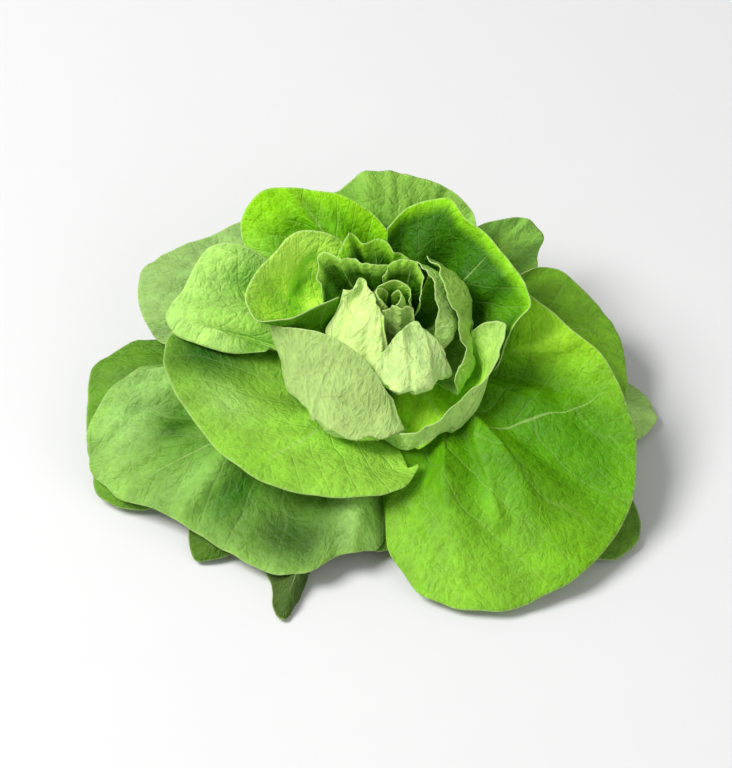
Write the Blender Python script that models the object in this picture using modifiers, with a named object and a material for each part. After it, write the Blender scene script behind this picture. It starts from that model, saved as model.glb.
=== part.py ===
"""A head of butterhead lettuce, cut at the stem: one solid for the stem and one for each leaf.

Each leaf is a thin fan of spokes. A spoke leaves the stem, rises, and ends at the leaf's rim, which is
a smooth line through a few measured points. The leaves are then nested: seen from a hub below the table,
they lie one inside the other in the order of the table below. Last, facets that are still too close move
apart, as leaves that grew against each other do.
"""

import math
from collections import namedtuple

import bmesh
import bpy
import numpy as np
from mathutils import Vector
from mathutils.bvhtree import BVHTree

MM = 0.001

# Driving dimensions, in millimetres and degrees. The origin is the middle of the stem's cut face. The
# leaves' rims were measured from the middle of the whole lettuce, and the stem stands at this spot there.
STEM_SPOT = (-3.0, 14.0, 0.0)
STEM_HEIGHT = 60.0
STEM_FOOT_RADIUS = 15.0
STEM_TIP_RADIUS = 4.0
STEM_STRAIGHT = 9.0
STEM_SIDES = 24
FOOT_BEVEL = 1.2
LEAF_THICKNESS = 0.8
LOWEST_JOINT = 9.0
HIGHEST_JOINT = 53.0
STEM_GAP = 0.8
TABLE_GAP = 1.2
FOOT_SHARE = 0.12
TIP_SPAN = 3.0
LOWEST_FOOT = STEM_STRAIGHT * 0.6
HIGHEST_FOOT = STEM_HEIGHT - 2.0

# How a spoke bends between foot and rim: shares of its length that its ends keep their own direction, and
# how strongly the foot's direction turns the rim's.
OUTWARD_PULL = 0.6
FOOT_PULL = 0.42
RIM_PULL = 0.36
BELLY_FOOT_PULL = 1.2
BELLY_PACE = 0.8

# The arranging of the leaves: a grid of bearings and distances round the hub, and the gaps kept on it.
HUB_HEIGHT = -50.0
TURN_STEP = 5.0
TURNS = 72
REACH_STEP = 4.0
REACHES = 44
FIELD_GAP = 2.0
UNSURE = 0.08
AXIS_ANGLE = 88.5
ORDER_ROUNDS = 24
EVEN_PASSES = 2
LEAF_GAP = 1.35
MOST_LEANING = 3.5
REST_ROUNDS = 40
FINAL_ROUNDS = 25
MOVE_SHARE = 1.3
CLEARANCE = 1.25
SPACE_ROUNDS = 40
EVEN_SHARE = 0.6
REST_SHARE = 0.3
PUSH_SHARE = 0.7
FIELD_MARGIN = 4
SPAN_MARGIN = 30.0
ABOVE_ALL = 400.0

# Each size of leaf: cells across and along, and half of the angle that its foot spans on the stem.
Size = namedtuple("Size", "across along foot_half_angle")
LOW = Size(10, 5, 30)
WRAPPER = Size(14, 6, 36)
HEAD = Size(13, 6, 42)
HEART = Size(9, 5, 50)
BUD = Size(7, 4, 60)

# azimuth is the leaf's direction seen from above, with +X at 0 and +Y at 90. rise is how steeply the
# leaf leaves the stem. pleats are (count, depth, phase) of the radial waves. rim is the leaf's edge from
# its clockwise end to its other end: points (x, y, z) in mm, each with the blade's slope there. belly is a
# second line of points that the blade passes through on its way, for the leaves that bulge.
Leaf = namedtuple("Leaf", "name size azimuth rise pleats rim belly", defaults=[None])

LEAVES = [
    Leaf("leaf_low_back", LOW, 88, 12, (2, 3, 40),
         [(52, 62, 14, 0), (48, 92, 8, -15), (22, 112, 5, -20), (-14, 116, 4, -20), (-44, 96, 8, -15),
          (-50, 62, 14, 0)]),
    Leaf("leaf_low_back_left", LOW, 143, 12, (2, 3, 10),
         [(-34, 78, 16, 0), (-58, 100, 7, -15), (-88, 98, 4, -25), (-112, 72, 5, -20), (-112, 42, 10, -10),
          (-84, 22, 16, 0)]),
    Leaf("leaf_low_back_right", LOW, 32, 12, (2, 3, 70),
         [(76, 14, 16, 0), (100, 34, 8, -15), (102, 66, 4, -20), (82, 90, 5, -20), (50, 98, 9, -10),
          (34, 72, 16, 0)]),
    Leaf("leaf_low_front", LOW, -112, 10, (2, 2, 20),
         [(-72, -48, 14, 0), (-76, -70, 9, -10), (-68, -86, 6, -15), (-61, -101, 5, -20),
          (-60, -118, 3, -30), (-54, -126, 3, -30), (-48, -116, 4, -25), (-44, -102, 6, -20),
          (-32, -86, 10, -15), (-16, -58, 14, 0)]),
    Leaf("leaf_low_front_left", LOW, -134, 10, (2, 2, 0),
         [(-98, -22, 14, 0), (-106, -46, 9, -10), (-102, -70, 6, -15), (-96, -92, 4, -25),
          (-84, -90, 4, -20), (-66, -72, 8, -10), (-44, -50, 12, 0)]),
    Leaf("leaf_low_front_middle", LOW, -93, 10, (2, 2, 60),
         [(-36, -54, 14, 0), (-26, -78, 9, -15), (-17, -86, 7, -25), (-8, -89, 5, -25), (4, -82, 7, -15),
          (14, -58, 12, 0)]),
    Leaf("leaf_low_front_right", LOW, -43, 12, (2, 2, 30),
         [(56, -70, 12, 0), (84, -86, 6, -10), (99, -92, 4, -20), (110, -90, 3, -25), (118, -79, 4, -20),
          (120, -66, 5, -15), (112, -48, 9, -5), (84, -26, 14, 0)]),
    Leaf("leaf_low_right", LOW, -6, 12, (2, 2, 50),
         [(84, -34, 12, 0), (112, -20, 7, -15), (126, -10, 5, -25), (131, 1, 5, -25), (126, 12, 7, -15),
          (114, 20, 11, -5), (84, 28, 14, 0)]),
    Leaf("leaf_low_left", WRAPPER, 188, 14, (3, 3, 30),
         [(-86, 44, 26, 0), (-116, 34, 28, -5), (-136, 28, 27, -10), (-150, 20, 21, -20),
          (-153, 0, 14, -20), (-152, -26, 8, -25), (-142, -55, 5, -30), (-126, -60, 5, -20),
          (-96, -46, 10, 0)]),
    Leaf("leaf_front_left_wide", WRAPPER, -138, 26, (3, 5, 10),
         [(-82, 20, 32, 5), (-112, 10, 36, 5), (-132, 3, 36, 0), (-151, -23, 25, -20),
          (-146, -51, 12, -40), (-116, -67, 13, -25), (-73, -98, 8, -20), (-48, -109, 6, -25),
          (-26, -95, 16, -35), (-8, -80, 21, -45), (-2, -56, 22, 0)]),
    Leaf("leaf_back_middle", WRAPPER, 92, 28, (3, 3, 20),
         [(-44, 56, 36, 20), (-52, 82, 40, 0), (-34, 101, 45, -10), (-6, 109, 47, -15), (20, 104, 45, -15),
          (38, 88, 39, -5), (44, 62, 36, 15)]),
    Leaf("leaf_back_right_wavy", WRAPPER, 42, 42, (3, 5, 0),
         [(62, 42, 34, 5), (70, 60, 36, 0), (74, 76, 41, -5), (74, 88, 48, -10), (67, 90, 54, 5),
          (58, 88, 57, 15), (47, 83, 60, 10), (38, 78, 60, 20), (30, 62, 62, 40)]),
    Leaf("leaf_left_back", WRAPPER, 152, 34, (3, 4, 60),
         [(-34, 74, 66, 40), (-55, 82, 68, 25), (-77, 78, 66, 10), (-96, 73, 59, 0), (-113, 69, 53, -5),
          (-125, 64, 47, -15), (-129, 50, 41, -20), (-124, 34, 36, -15), (-110, 18, 34, 0),
          (-88, 8, 36, 10)]),
    Leaf("leaf_right_back", WRAPPER, 6, 34, (3, 4, 30),
         [(82, -22, 30, 5), (104, -14, 25, -5), (115, 2, 22, -20), (115, 19, 26, -20), (111, 35, 31, -15),
          (102, 46, 36, -5), (92, 56, 42, 0), (82, 62, 47, 5), (70, 60, 51, 15), (56, 46, 54, 30)]),
    Leaf("leaf_back", WRAPPER, 85, 56, (4, 4, 20),
         [(46, 46, 62, 45), (42, 62, 72, 50), (36, 76, 80, 45), (22, 83, 87, 30), (10, 86, 88, 20),
          (-6, 87, 91, 15), (-18, 87, 89, 20), (-32, 80, 84, 35), (-44, 70, 76, 45), (-48, 56, 66, 50)]),
    Leaf("leaf_front_right_fan", WRAPPER, -42, 32, (5, 5, 0),
         [(4, -50, 24, 5), (-6, -80, 13, -15), (12, -115, 6, -30), (42, -125, 5, -20), (86, -109, 10, -20),
          (115, -70, 21, -5), (117, -32, 35, 5), (99, 2, 54, 20), (82, 12, 64, 35), (66, 18, 76, 55)]),
    Leaf("leaf_front_left_cup", WRAPPER, -132, 10, (3, 1, 0),
         [(-84, 20, 58, 15), (-104, 18, 56, 5), (-114, 6, 53, -5), (-110, -17, 50, -10),
          (-95, -44, 45, -15), (-73, -66, 40, -20), (-47, -78, 37, -20), (-21, -78, 34, -20),
          (4, -68, 30, -15), (12, -52, 28, 5)],
         [(-60, 18, 46), (-58, 4, 44), (-55, -10, 42), (-46, -30, 39), (-32, -46, 36), (-12, -56, 32),
          (6, -54, 29)]),
    Leaf("leaf_left_folded", WRAPPER, 176, 52, (2, 3, 30),
         [(-58, 36, 78, 50), (-70, 42, 83, 45), (-80, 45, 85, 25), (-91, 45, 82, 5), (-98, 38, 77, -5),
          (-105, 27, 69, -15), (-113, 19, 62, -35), (-110, 11, 58, -45), (-95, 4, 56, -45),
          (-78, 0, 56, -40), (-60, 0, 58, -20)],
         [(-44, 30, 58), (-52, 33, 60), (-60, 35, 62), (-70, 35, 66), (-80, 32, 68), (-90, 27, 68),
          (-101, 21, 66), (-100, 14, 64), (-86, 10, 61), (-70, 7, 57), (-54, 6, 54)]),
    Leaf("leaf_back_left_tall", WRAPPER, 118, 62, (3, 4, 50),
         [(2, 46, 78, 75), (-6, 54, 86, 65), (-18, 63, 93, 50), (-32, 68, 97, 35), (-49, 70, 98, 30),
          (-66, 70, 95, 30), (-75, 64, 88, 30), (-76, 54, 79, 35), (-68, 40, 66, 40)]),
    Leaf("head_right_back", HEAD, 34, 62, (3, 4, 20),
         [(46, -8, 58, 60), (57, 2, 73, 60), (66, 9, 82, 45), (61, 19, 88, 45), (52, 31, 93, 50),
          (41, 42, 98, 55), (33, 47, 100, 60), (28, 56, 104, 45), (18, 57, 102, 50), (6, 55, 99, 65),
          (-4, 48, 92, 80)]),
    Leaf("head_front_right", HEAD, -50, 8, (3, 2, 0),
         [(-8, -38, 40, 88), (4, -45, 41, 85), (18, -45, 44, 75), (30, -37, 50, 65), (41, -28, 56, 60),
          (49, -20, 61, 55), (54, -10, 67, 55), (56, -1, 73, 50), (46, 2, 72, 65), (38, 3, 66, 80)],
         [(-8, -36, 28), (4, -46, 27), (20, -47, 29), (33, -38, 33), (42, -26, 38), (45, -14, 42),
          (42, -4, 44)]),
    Leaf("head_front_left", HEAD, -135, 5, (3, 2, 40),
         [(-58, 16, 62, 95), (-62, 7, 67, 100), (-52, 2, 69, 110), (-38, -3, 71, 120), (-26, -8, 69, 125),
          (-15, -15, 64, 125), (-6, -25, 56, 115), (0, -36, 46, 105)],
         [(-58, 14, 50), (-58, -4, 48), (-50, -24, 46), (-37, -41, 44), (-19, -51, 41), (-4, -53, 38),
          (6, -46, 36)]),
    Leaf("head_left_spoon", HEAD, 158, 66, (2, 2, 0),
         [(-18, 30, 84, 90), (-24, 38, 92, 80), (-37, 41, 96, 70), (-48, 41, 96, 60), (-59, 33, 91, 50),
          (-69, 23, 85, 45), (-74, 13, 78, 40), (-70, 4, 74, 45), (-53, 3, 75, 70), (-41, 8, 77, 80),
          (-28, 14, 79, 90)],
         [(-16, 26, 74), (-24, 31, 74), (-34, 33, 73), (-44, 31, 71), (-52, 26, 68), (-58, 19, 65),
          (-58, 12, 63), (-52, 8, 62), (-44, 7, 63), (-36, 9, 66), (-28, 12, 69)]),
    Leaf("heart_back", HEART, 96, 74, (3, 3, 0),
         [(12, 30, 82, 85), (2, 36, 87, 70), (-8, 42, 91, 60), (-17, 41, 90, 65), (-26, 45, 93, 55),
          (-32, 38, 86, 70)]),
    Leaf("heart_right", HEART, -4, 20, (2, 2, 30),
         [(28, -18, 54, 100), (33, -8, 65, 110), (31, 1, 77, 125), (25, 9, 87, 135), (20, 18, 92, 135),
          (15, 28, 93, 110)],
         [(30, -20, 46), (37, -8, 54), (40, 5, 62), (39, 16, 70), (35, 26, 76), (26, 34, 78)]),
    Leaf("heart_front_right", HEART, -70, 10, (3, 2, 60),
         [(-10, -16, 62, 100), (-2, -11, 71, 110), (5, -4, 78, 120), (10, -2, 79, 120), (15, -5, 75, 120),
          (21, -8, 70, 120), (25, -12, 62, 110)],
         [(-12, -28, 52), (-2, -32, 54), (8, -30, 56), (16, -26, 56), (24, -20, 54), (28, -14, 52)]),
    Leaf("heart_back_left", HEART, 125, 74, (3, 3, 10),
         [(2, 22, 86, 80), (-8, 24, 90, 75), (-18, 26, 92, 75), (-28, 28, 92, 65), (-36, 31, 91, 50),
          (-38, 24, 84, 65), (-34, 16, 76, 80)]),
    Leaf("heart_right_inner", HEART, 0, 40, (2, 2, 0),
         [(20, -8, 68, 110), (20, 2, 79, 120), (20, 10, 86, 130), (17, 19, 91, 130), (11, 26, 92, 110)],
         [(22, -10, 60), (29, 2, 68), (30, 13, 74), (26, 24, 80), (18, 30, 82)]),
    Leaf("heart_left_pale", HEART, -150, 15, (4, 2, 30),
         [(-27, 20, 76, 95), (-25, 16, 83, 105), (-19, 18, 87, 110), (-13, 14, 85, 120), (-8, 8, 82, 120),
          (-6, -2, 76, 110)],
         [(-36, 12, 58), (-36, -4, 58), (-29, -14, 58), (-18, -19, 58), (-7, -20, 57), (0, -18, 56)]),
    Leaf("heart_back_curl", HEART, 50, 76, (2, 2, 20),
         [(12, 10, 80, 95), (12, 18, 86, 85), (12, 27, 90, 70), (6, 31, 91, 60), (-2, 30, 90, 60),
          (-7, 24, 84, 80)]),
    Leaf("heart_middle_front", HEART, -85, 62, (2, 2, 50),
         [(-10, 2, 70, 95), (-8, 5, 78, 100), (-1, 4, 81, 80), (6, 4, 81, 80), (9, 2, 76, 100)]),
    Leaf("heart_middle_back", HEART, 85, 78, (2, 2, 10),
         [(7, 12, 76, 100), (4, 18, 82, 95), (-3, 20, 84, 90), (-9, 15, 80, 100)]),
    Leaf("heart_bud_left", BUD, 190, 70, (2, 1, 0),
         [(-4, 20, 78, 95), (-8, 18, 82, 100), (-10, 14, 84, 105), (-8, 10, 82, 100), (-4, 8, 78, 95)]),
    Leaf("heart_bud_right", BUD, 10, 70, (2, 1, 50),
         [(-2, 9, 76, 95), (2, 10, 80, 100), (3, 14, 81, 105), (2, 18, 80, 100), (-2, 19, 76, 95)]),
]


def stem_radius(z):
    """The stem's radius in mm at height z: straight at the foot, then a cone."""
    share = np.clip((z - STEM_STRAIGHT) / (STEM_HEIGHT - STEM_STRAIGHT), 0, 1)
    return STEM_FOOT_RADIUS + (STEM_TIP_RADIUS - STEM_FOOT_RADIUS) * share


def stem_angles():
    """The stem's own angle above the hub at each reach of the grid; straight up beyond its tip."""
    heights = np.linspace(0, STEM_HEIGHT, 200)
    radii = stem_radius(heights)
    reach = np.hypot(radii, heights - HUB_HEIGHT)
    angle = np.degrees(np.arctan2(heights - HUB_HEIGHT, radii))
    return np.interp(np.arange(REACHES) * REACH_STEP, reach, angle, right=AXIS_ANGLE)


STEM_ANGLES = stem_angles()


def direction(azimuth):
    """Horizontal unit vectors that point at these azimuths, in degrees."""
    turn = np.radians(azimuth)
    return np.stack([np.cos(turn), np.sin(turn), np.zeros_like(turn)], axis=-1)


def smooth_line(points, count):
    """count + 1 rows spread evenly along a smooth line through the points, which start with x, y, z."""
    rows = np.array(points, float)
    reach = np.concatenate([[0], np.cumsum(np.linalg.norm(np.diff(rows[:, :3], axis=0), axis=1))])
    slopes = np.gradient(rows, reach, axis=0)
    at = np.linspace(0, reach[-1], count + 1)
    low = np.clip(np.searchsorted(reach, at, side="right") - 1, 0, len(rows) - 2)
    span = (reach[low + 1] - reach[low])[:, None]
    t = (at[:, None] - reach[low][:, None]) / span
    return (rows[low] * (2 * t**3 - 3 * t**2 + 1) + slopes[low] * span * (t**3 - 2 * t**2 + t)
            + rows[low + 1] * (3 * t**2 - 2 * t**3) + slopes[low + 1] * span * (t**3 - t**2))


def curve(t, start, leaving, end, arriving):
    """Points at shares t of curves with these ends and these tangents at them."""
    start, end = start[:, None], end[:, None]
    leaving = leaving.reshape(len(leaving), 1, 3)
    arriving = arriving.reshape(len(arriving), 1, 3)
    return (start * (2 * t**3 - 3 * t**2 + 1) + leaving * (t**3 - 2 * t**2 + t)
            + end * (3 * t**2 - 2 * t**3) + arriving * (t**3 - t**2))


def joint_height(order):
    """Where leaf number order is joined to the stem: the outermost leaf lowest."""
    return LOWEST_JOINT + (HIGHEST_JOINT - LOWEST_JOINT) * order / (len(LEAVES) - 1)


def leaf_sheet(leaf, order):
    """The middle surface of one leaf as points[across, along, xyz] in mm, before it is settled."""
    across, along = leaf.size.across, leaf.size.along
    rim = smooth_line(leaf.rim, across)
    rim[:, :3] -= STEM_SPOT
    side = np.linspace(-1, 1, across + 1)
    out = direction(leaf.azimuth + side * leaf.size.foot_half_angle)
    up = np.array([0.0, 0.0, 1.0])
    foot_height = joint_height(order)
    foot = out * (stem_radius(foot_height) + STEM_GAP) + up * foot_height
    ends = rim[:, :3]
    length = np.linalg.norm(ends - foot, axis=1, keepdims=True)
    heading = (ends - foot) / length + out * OUTWARD_PULL
    heading[:, 2] = 0
    heading /= np.linalg.norm(heading, axis=1, keepdims=True)
    slope = np.radians(rim[:, 3:4])
    rise = math.radians(leaf.rise)
    start = out * math.cos(rise) + up * math.sin(rise)
    finish = heading * np.cos(slope) + up * np.sin(slope)
    t = np.linspace(0, 1, along + 1)[None, :, None]
    if leaf.belly is None:
        first = foot + FOOT_PULL * length * start
        second = ends - RIM_PULL * length * finish
        sheet = (foot[:, None] * (1 - t)**3 + first[:, None] * 3 * t * (1 - t)**2
                 + second[:, None] * 3 * t**2 * (1 - t) + ends[:, None] * t**3)
    else:
        bend = smooth_line(leaf.belly, across) - STEM_SPOT
        low = np.linalg.norm(bend - foot, axis=1, keepdims=True)
        high = np.linalg.norm(ends - bend, axis=1, keepdims=True)
        share = (low / (low + high))[:, None]
        pace = (ends - foot)[:, None] * BELLY_PACE
        lower = curve(t / share, foot, start * low * BELLY_FOOT_PULL, bend, pace * share)
        upper = curve((t - share) / (1 - share), bend, pace * (1 - share), ends, finish * high)
        sheet = np.where(t <= share, lower, upper)
    count, depth, phase = leaf.pleats
    wave = depth * np.cos(math.pi * count * side + math.radians(phase))[:, None, None]
    return sheet + normals_of(sheet) * wave * np.sin(math.pi * t) ** 2


def normals_of(sheet):
    """Unit normals of a sheet, on the side that faces up or towards the middle of the head."""
    normal = np.cross(np.gradient(sheet, axis=1), np.gradient(sheet, axis=0))
    return normal / np.maximum(np.linalg.norm(normal, axis=2, keepdims=True), 1e-9)


def triangles_of(across, along):
    """Triangles of a sheet's grid, as rows of indices into its flattened points."""
    i, j = np.meshgrid(np.arange(across), np.arange(along), indexing="ij")
    corner = (i * (along + 1) + j).ravel()
    right = corner + along + 1
    return np.concatenate([np.stack([corner, corner + 1, right + 1], 1),
                           np.stack([corner, right + 1, right], 1)])


def to_polar(sheet, azimuth):
    """Points as (turn, reach, angle): bearing, distance from the hub in mm, angle above it; in degrees."""
    flat = np.hypot(sheet[..., 0], sheet[..., 1])
    height = sheet[..., 2] - HUB_HEIGHT
    turn = np.degrees(np.arctan2(sheet[..., 1], sheet[..., 0]))
    turn = azimuth + (turn - azimuth + 180) % 360 - 180
    return np.stack([turn, np.hypot(flat, height), np.degrees(np.arctan2(height, flat))], axis=-1)


def from_polar(polar):
    """The points in mm of (turn, reach, angle)."""
    turn, reach, angle = np.radians(polar[..., 0]), polar[..., 1], np.radians(polar[..., 2])
    flat = reach * np.cos(angle)
    return np.stack([flat * np.cos(turn), flat * np.sin(turn), HUB_HEIGHT + reach * np.sin(angle)], axis=-1)


def field_of(polar):
    """A leaf's angle over the grid of turns and reaches, and how sure it is; NaN where it has no leaf."""
    angle = np.full((TURNS, REACHES), np.nan)
    sure = np.full((TURNS, REACHES), np.nan)
    along = polar.shape[1] - 1
    flat = polar.reshape(-1, 3) / (TURN_STEP, REACH_STEP, 1.0)
    faces = triangles_of(polar.shape[0] - 1, along)
    tree = BVHTree.FromPolygons(flat.tolist(), faces.tolist())
    down = Vector((0, 0, -1))
    for i in range(math.floor(flat[:, 0].min()), math.ceil(flat[:, 0].max()) + 1):
        for j in range(max(0, math.floor(flat[:, 1].min())), min(REACHES, math.ceil(flat[:, 1].max()) + 1)):
            spot, _, face, _ = tree.ray_cast(Vector((i, j, ABOVE_ALL)), down)
            if spot is not None:
                share = (faces[face] % (along + 1)).mean() / along
                angle[i % TURNS, j] = spot.z
                sure[i % TURNS, j] = UNSURE + share ** 3
    return angle, sure


def neighbour_sum(field):
    """The sum of a field's four neighbours on the grid, round in turn and closed off in reach."""
    wide = np.pad(field, ((0, 0), (1, 1)))
    return np.roll(field, 1, 0) + np.roll(field, -1, 0) + wide[:, :-2] + wide[:, 2:]


def widened(field, cells):
    """A field carried on past its border by this many cells."""
    for _ in range(cells):
        known = ~np.isnan(field)
        count = neighbour_sum(known.astype(float))
        total = neighbour_sum(np.where(known, field, 0.0))
        field = np.where(known | (count == 0), field, total / np.maximum(count, 1))
    return field


def evened(field, share):
    """A field drawn towards its neighbours' average by this share, inside its own border."""
    known = ~np.isnan(field)
    count = neighbour_sum(known.astype(float))
    around = neighbour_sum(np.where(known, field, 0.0)) / np.maximum(count, 1)
    return np.where(known & (count > 0), field * (1 - share) + around * share, field)


def rising(values, weights):
    """The closest values that never fall, by pooling neighbours that are out of order."""
    pools = []
    for value, weight in zip(values, weights):
        pools.append((value, weight, 1))
        while len(pools) > 1 and pools[-2][0] >= pools[-1][0]:
            last, before = pools.pop(), pools.pop()
            weight = last[1] + before[1]
            value = (last[0] * last[1] + before[0] * before[1]) / weight
            pools.append((value, weight, last[2] + before[2]))
    return [value for value, _, count in pools for _ in range(count)]


def lean_of(angle):
    """How much wider than square to the leaf its gap must be along the angle, over the grid."""
    reach = np.maximum(np.arange(REACHES) * REACH_STEP, REACH_STEP)[None, :]
    filled = widened(angle, 2)
    rise = np.radians(np.gradient(filled, axis=1)) * reach / REACH_STEP
    bank = np.radians((np.roll(filled, -1, 0) - np.roll(filled, 1, 0)) / 2) / math.radians(TURN_STEP)
    bank = bank / np.maximum(np.cos(np.radians(filled)), 0.1)
    return np.nan_to_num(np.minimum(np.sqrt(1 + rise**2 + bank**2), MOST_LEANING), nan=1.0)


def in_order(angles, sures, leans):
    """The angle fields moved so that at each spot the leaves lie in their order, a gap apart."""
    result = angles.copy()
    for j in range(REACHES):
        reach = max(j * REACH_STEP, REACH_STEP)
        gap = math.degrees(FIELD_GAP / reach)
        lowest = math.degrees(math.asin(min(1.0, (TABLE_GAP - HUB_HEIGHT) / reach)))
        highest = STEM_ANGLES[j]
        for i in range(TURNS):
            here = np.nonzero(~np.isnan(angles[:, i, j]))[0]
            if not len(here):
                continue
            lean = leans[here, i, j]
            steps = gap * np.concatenate([[0], np.cumsum((lean[1:] + lean[:-1]) / 2)])
            flat = np.array(rising(angles[here, i, j] - steps, sures[here, i, j]))
            flat = np.minimum(np.maximum(flat, lowest), highest - steps[-1])
            result[here, i, j] = flat + steps
    return result


def arranged(leaves, sheets):
    """The leaves' shifts of angle on the grid that put them in order, from the outermost to the innermost."""
    fields = [field_of(to_polar(sheet, leaf.azimuth)) for leaf, sheet in zip(leaves, sheets)]
    angles = np.stack([widened(angle, 1) for angle, _ in fields])
    sures = np.stack([widened(sure, 1) for _, sure in fields])
    shifts = np.zeros_like(angles)
    leans = np.stack([lean_of(angle) for angle, _ in fields])
    for turn in range(ORDER_ROUNDS):
        shifts = in_order(angles + shifts, sures, leans) - angles
        if turn < ORDER_ROUNDS - 1:
            for _ in range(EVEN_PASSES):
                shifts = np.stack([evened(s, EVEN_SHARE) for s in shifts])
    return [widened(s, FIELD_MARGIN) for s in shifts]


def shifted(sheet, azimuth, shift):
    """A sheet moved by its shift of angle, read smoothly from the grid; its foot stays on the stem."""
    polar = to_polar(sheet, azimuth)
    i = polar[..., 0] / TURN_STEP
    j = np.clip(polar[..., 1] / REACH_STEP, 0, REACHES - 1.001)
    low_i, low_j = np.floor(i).astype(int), np.floor(j).astype(int)
    part_i, part_j = i - low_i, j - low_j
    field = np.nan_to_num(shift)
    move = sum(field[(low_i + a) % TURNS, low_j + b] * u * v
               for a, u in enumerate((1 - part_i, part_i)) for b, v in enumerate((1 - part_j, part_j)))
    t = np.clip(np.linspace(0, 1, sheet.shape[1]) / FOOT_SHARE, 0, 1)
    polar[..., 2] += move * t * t * (3 - 2 * t)
    return from_polar(polar)


def samples_of(across, along):
    """Places on a sheet's grid, as three indices whose points are averaged: corners, edges and faces."""
    grid = np.arange((across + 1) * (along + 1)).reshape(across + 1, along + 1)
    faces = triangles_of(across, along)
    ends = np.concatenate([np.stack([grid[:-1].ravel(), grid[1:].ravel()], 1),
                           np.stack([grid[:, :-1].ravel(), grid[:, 1:].ravel()], 1)])
    return np.concatenate([np.stack([grid.ravel()] * 3, 1), np.stack([ends[:, 0], ends[:, 1], ends[:, 1]], 1),
                           np.stack([ends[:, 0], ends[:, 0], ends[:, 1]], 1), faces])


def leaning(points, faces):
    """How much farther apart two faces must be along the angle than square to them, for each triangle."""
    normal = np.cross(points[faces[:, 1]] - points[faces[:, 0]], points[faces[:, 2]] - points[faces[:, 0]])
    normal /= np.maximum(np.linalg.norm(normal, axis=1, keepdims=True), 1e-9)
    middle = to_polar(points[faces].mean(axis=1), 0.0)
    turn, angle = np.radians(middle[:, 0]), np.radians(middle[:, 2])
    upward = np.stack([-np.sin(angle) * np.cos(turn), -np.sin(angle) * np.sin(turn), np.cos(angle)], axis=1)
    return 1 / np.maximum(np.abs((normal * upward).sum(axis=1)), 1 / MOST_LEANING)


def crowded(spots, tree, azimuth, lean, side):
    """Spots of one leaf that are too near another or past it: rows of spot, face, and missing angle."""
    rows = []
    down = Vector((0, 0, -1))
    for n, (turn, reach, angle) in enumerate(spots):
        turn = azimuth + (turn - azimuth + 180) % 360 - 180
        spot, _, face, _ = tree.ray_cast(Vector((turn, reach, ABOVE_ALL)), down)
        if spot is not None:
            short = math.degrees(LEAF_GAP * lean[face] / reach) - side * (angle - spot.z)
            if short > 0:
                rows.append((n, face, short * side))
    return np.array(rows).reshape(-1, 3)


def settle(leaves, sheets):
    """Turns facets that are still too close away from each other, up or down from the hub, in rounds."""
    faces = [triangles_of(s.shape[0] - 1, s.shape[1] - 1) for s in sheets]
    places = [samples_of(s.shape[0] - 1, s.shape[1] - 1) for s in sheets]
    polars = [to_polar(s, leaf.azimuth).reshape(-1, 3) for leaf, s in zip(leaves, sheets)]
    for turn in range(REST_ROUNDS):
        trees = [BVHTree.FromPolygons(p.tolist(), f.tolist()) for p, f in zip(polars, faces)]
        leans = [leaning(from_polar(p), f) for p, f in zip(polars, faces)]
        spots = [p[place].mean(axis=1) for p, place in zip(polars, places)]
        total = [np.zeros((len(p), 2)) for p in polars]
        for outer in range(len(sheets)):
            for inner in range(outer + 1, len(sheets)):
                apart = (leaves[outer].azimuth - leaves[inner].azimuth + 180) % 360 - 180
                spans = np.ptp(polars[outer][:, 0]) + np.ptp(polars[inner][:, 0])
                if abs(apart) > spans / 2 + SPAN_MARGIN:
                    continue
                for mover, other, side in ((inner, outer, 1), (outer, inner, -1)):
                    rows = crowded(spots[mover], trees[other], leaves[other].azimuth, leans[other], side)
                    if not len(rows):
                        continue
                    for corner in range(3):
                        for leaf, hit, way in ((mover, places[mover][rows[:, 0].astype(int), corner], 0.5),
                                               (other, faces[other][rows[:, 1].astype(int), corner], -0.5)):
                            np.add.at(total[leaf], hit, np.stack([way * rows[:, 2], np.ones(len(rows))], 1))
        worst = 0.0
        for n, (leaf, sheet) in enumerate(zip(leaves, sheets)):
            move = (total[n][:, 0] / np.maximum(total[n][:, 1], 1)).reshape(sheet.shape[0], sheet.shape[1], 1)
            worst = max(worst, np.abs(move).max())
            if turn < REST_ROUNDS - FINAL_ROUNDS:
                move = smoothed(move, REST_SHARE)
            polars[n][:, 2] += MOVE_SHARE * move.ravel()
            sheets[n] = hold_limits(from_polar(polars[n]).reshape(sheet.shape))
            polars[n] = to_polar(sheets[n], leaf.azimuth).reshape(-1, 3)
        if worst == 0.0:
            break
    return sheets


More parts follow.
